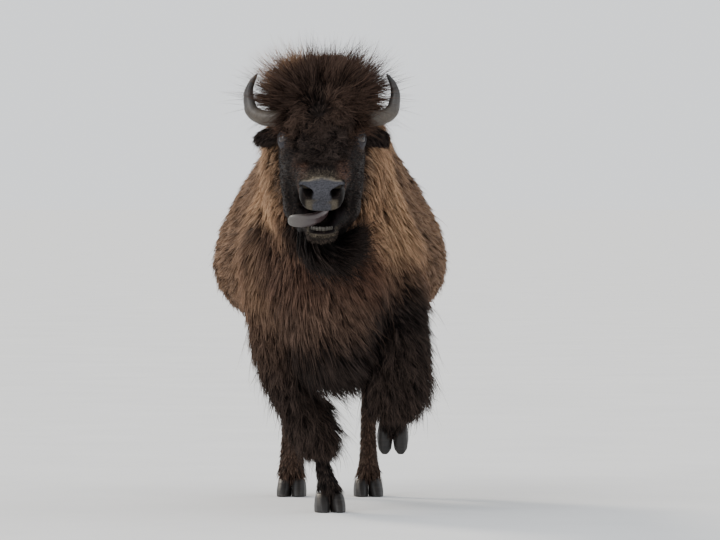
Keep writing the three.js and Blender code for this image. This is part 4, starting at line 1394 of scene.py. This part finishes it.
def horn_material():
    """Grey-tan at the root, slate in the middle and nearly black at the tip, with fine long fibres."""
    nodes = Nodes("horn")
    base = nodes.ramp(
        nodes.plus(nodes.attribute("along"), nodes.noise(90, 4), 0.16),
        {
            0.12: linear(62, 54, 46),
            0.36: linear(85, 77, 68),
            0.55: linear(71, 68, 66),
            0.78: linear(46, 45, 47),
            1.0: linear(18, 17, 18),
        },
    )
    streaks = {0.35: (0.55, 0.52, 0.50, 1), 0.7: (1.1, 1.08, 1.05, 1)}
    streaks = nodes.mottled(260, 5, streaks, (1, 1, 0.35))
    color = nodes.mix(0.75, base, streaks, "MULTIPLY")
    fibres = nodes.noise(420, 4, (1, 1, 0.3))
    return nodes.finished(color, (fibres, 0.45, 0.0006), Roughness=0.42, Specular_IOR_Level=0.5)


def hoof_material():
    nodes = Nodes("hoof")
    rings = nodes.noise(36, 3, (0.3, 0.3, 4.0))
    color = nodes.ramp(rings, {0.3: linear(18, 15, 14), 0.55: linear(32, 28, 26), 0.75: linear(50, 44, 40)})
    scuffs = nodes.mottled(240, 5, {0.45: (0.6, 0.6, 0.6, 1), 0.75: (1.25, 1.2, 1.15, 1)})
    color = nodes.mix(0.8, color, scuffs, "MULTIPLY")
    height = nodes.plus(rings, nodes.noise(300, 4), 0.4)
    return nodes.finished(color, (height, 0.5, 0.0015), Roughness=0.5, Specular_IOR_Level=0.45)


def eye_material():
    nodes = Nodes("eye")
    iris = nodes.ramp(
        nodes.plus(nodes.attribute("iris"), nodes.noise(500, 4), 0.10),
        {
            0.0: linear(36, 22, 15),
            0.60: linear(44, 28, 19),
            0.92: linear(14, 10, 9),
            1.0: linear(70, 62, 60),
        },
    )
    pupil = nodes.ramp(nodes.attribute("pupil"), {0.90: (1, 1, 1, 1), 1.0: (0, 0, 0, 1)})
    color = nodes.mix(pupil, iris, linear(5, 6, 9))
    return nodes.finished(color, Roughness=0.05, Specular_IOR_Level=0.70)


def tongue_material():
    """Grey and papillose on the blade, mauve towards the root, wet."""
    nodes = Nodes("tongue")
    along = nodes.plus(nodes.attribute("along"), nodes.noise(70, 4), 0.2)
    base = nodes.ramp(along, {0.3: linear(60, 33, 37), 0.62: linear(68, 58, 58), 1.0: linear(90, 87, 82)})
    spots = nodes.mottled(700, 3, {0.35: (0.70, 0.68, 0.68, 1), 0.7: (1.1, 1.1, 1.1, 1)})
    color = nodes.mix(0.7, base, spots, "MULTIPLY")
    wet = {"Roughness": 0.38, "Specular_IOR_Level": 0.5, "Coat_Weight": 0.35, "Coat_Roughness": 0.2}
    return nodes.finished(color, (nodes.noise(900, 3), 0.5, 0.0008), **wet)


def tooth_material():
    nodes = Nodes("tooth")
    stains = {0.3: linear(50, 46, 41), 0.6: linear(80, 76, 70), 0.8: linear(104, 100, 94)}
    color = nodes.mottled(160, 4, stains, (1, 1, 0.4))
    bump = (nodes.noise(600, 2), 0.2, 0.0003)
    return nodes.finished(color, bump, Roughness=0.3, Specular_IOR_Level=0.5)


# ---- The whole animal ----

COAT_NODES = {"coat_crown": ["crown"], "coat_beard": ["beard"], "coat_tail": ["tail_tuft"]}


def finish_piece(ob, material, nodes=()):
    ob.data.materials.clear()
    ob.data.materials.append(material)
    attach(ob, "root")
    if nodes:
        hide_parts(*nodes)


def build_animal():
    skin = make_skin()
    surface = Surface(skin)
    for mark, values in zip(MARKS, markings(surface.points, surface.share)):
        store(skin, mark, values)
    for mark, values in zip(("bare", "mouth"), bare_skin(surface.points, surface.normals)):
        store(skin, mark, values)
    flesh = [name for name in (*COAT_DEPTH, *THIN_NODES) if name not in ("crown", "beard", "tail_tuft")]
    finish_piece(skin, skin_material(), flesh)
    coat = coat_material()
    for ob in make_coat(surface):
        finish_piece(ob, coat, COAT_NODES.get(ob.name, ()))
    horn, eye, hoof = horn_material(), eye_material(), hoof_material()
    for side in HANDS:
        finish_piece(make_horn(side), horn, [f"horn_{side}"])
        finish_piece(make_eye(side), eye, [f"eye_{side}"])
    finish_piece(make_tongue(), tongue_material(), ["tongue"])
    finish_piece(make_teeth(), tooth_material(), ["lower_teeth"])
    for node in CLAWS:
        finish_piece(make_claw(node), hoof, [node])


# ---- Floor, light and camera ----

# name, where it shines from, strength, width in degrees, colour
SUNS = [
    ("key", (-0.50, -0.62, 0.60), 1.1, 30, (1.0, 0.97, 0.93)),
    ("rim", (-0.50, 0.70, 0.60), 2.4, 12, (1.0, 0.88, 0.72)),
]
SKY_COLOR = (0.95, 0.975, 1.0, 1)
SKY_STRENGTH = 1.3
CAMERA_PLACE = (0, -18.6, 1.0)
CAMERA_YAW = math.radians(0.313)
CAMERA_PITCH = math.radians(-0.657)
CAMERA_LENS = 274.5


def make_floor():
    mesh = bpy.data.meshes.new("floor")
    with opened(mesh) as bm:
        bmesh.ops.create_circle(bm, cap_ends=True, segments=96, radius=2000)
    floor = placed("floor", mesh)
    nodes = Nodes("floor")
    color = nodes.mottled(1.5, 3, {0.3: (0.65, 0.66, 0.67, 1), 0.7: (0.69, 0.70, 0.71, 1)})
    mesh.materials.append(nodes.finished(color, Roughness=0.95, Specular_IOR_Level=0.0))


def make_light():
    world = bpy.data.worlds.new("sky")
    bpy.context.scene.world = world
    world.use_nodes = True
    background = world.node_tree.nodes["Background"]
    background.inputs["Color"].default_value = SKY_COLOR
    background.inputs["Strength"].default_value = SKY_STRENGTH
    for name, comes_from, strength, width, color in SUNS:
        light = bpy.data.lights.new(name, "SUN")
        light.energy = strength
        light.angle = math.radians(width)
        light.color = color
        placed(name, light).rotation_euler = Vector(comes_from).to_track_quat("Z", "Y").to_euler()


def make_camera():
    camera = bpy.data.cameras.new("camera")
    camera.sensor_width = 36
    camera.lens = CAMERA_LENS
    camera.clip_end = 5000
    ob = placed("camera", camera)
    ob.location = on_body(*CAMERA_PLACE)
    level = math.cos(CAMERA_PITCH)
    ahead = Vector((math.sin(CAMERA_YAW) * level, math.cos(CAMERA_YAW) * level, math.sin(CAMERA_PITCH)))
    ob.rotation_euler = ahead.to_track_quat("-Z", "Y").to_euler()
    bpy.context.scene.camera = ob


build_animal()
make_floor()
make_light()
make_camera()
bpy.context.view_layer.update()
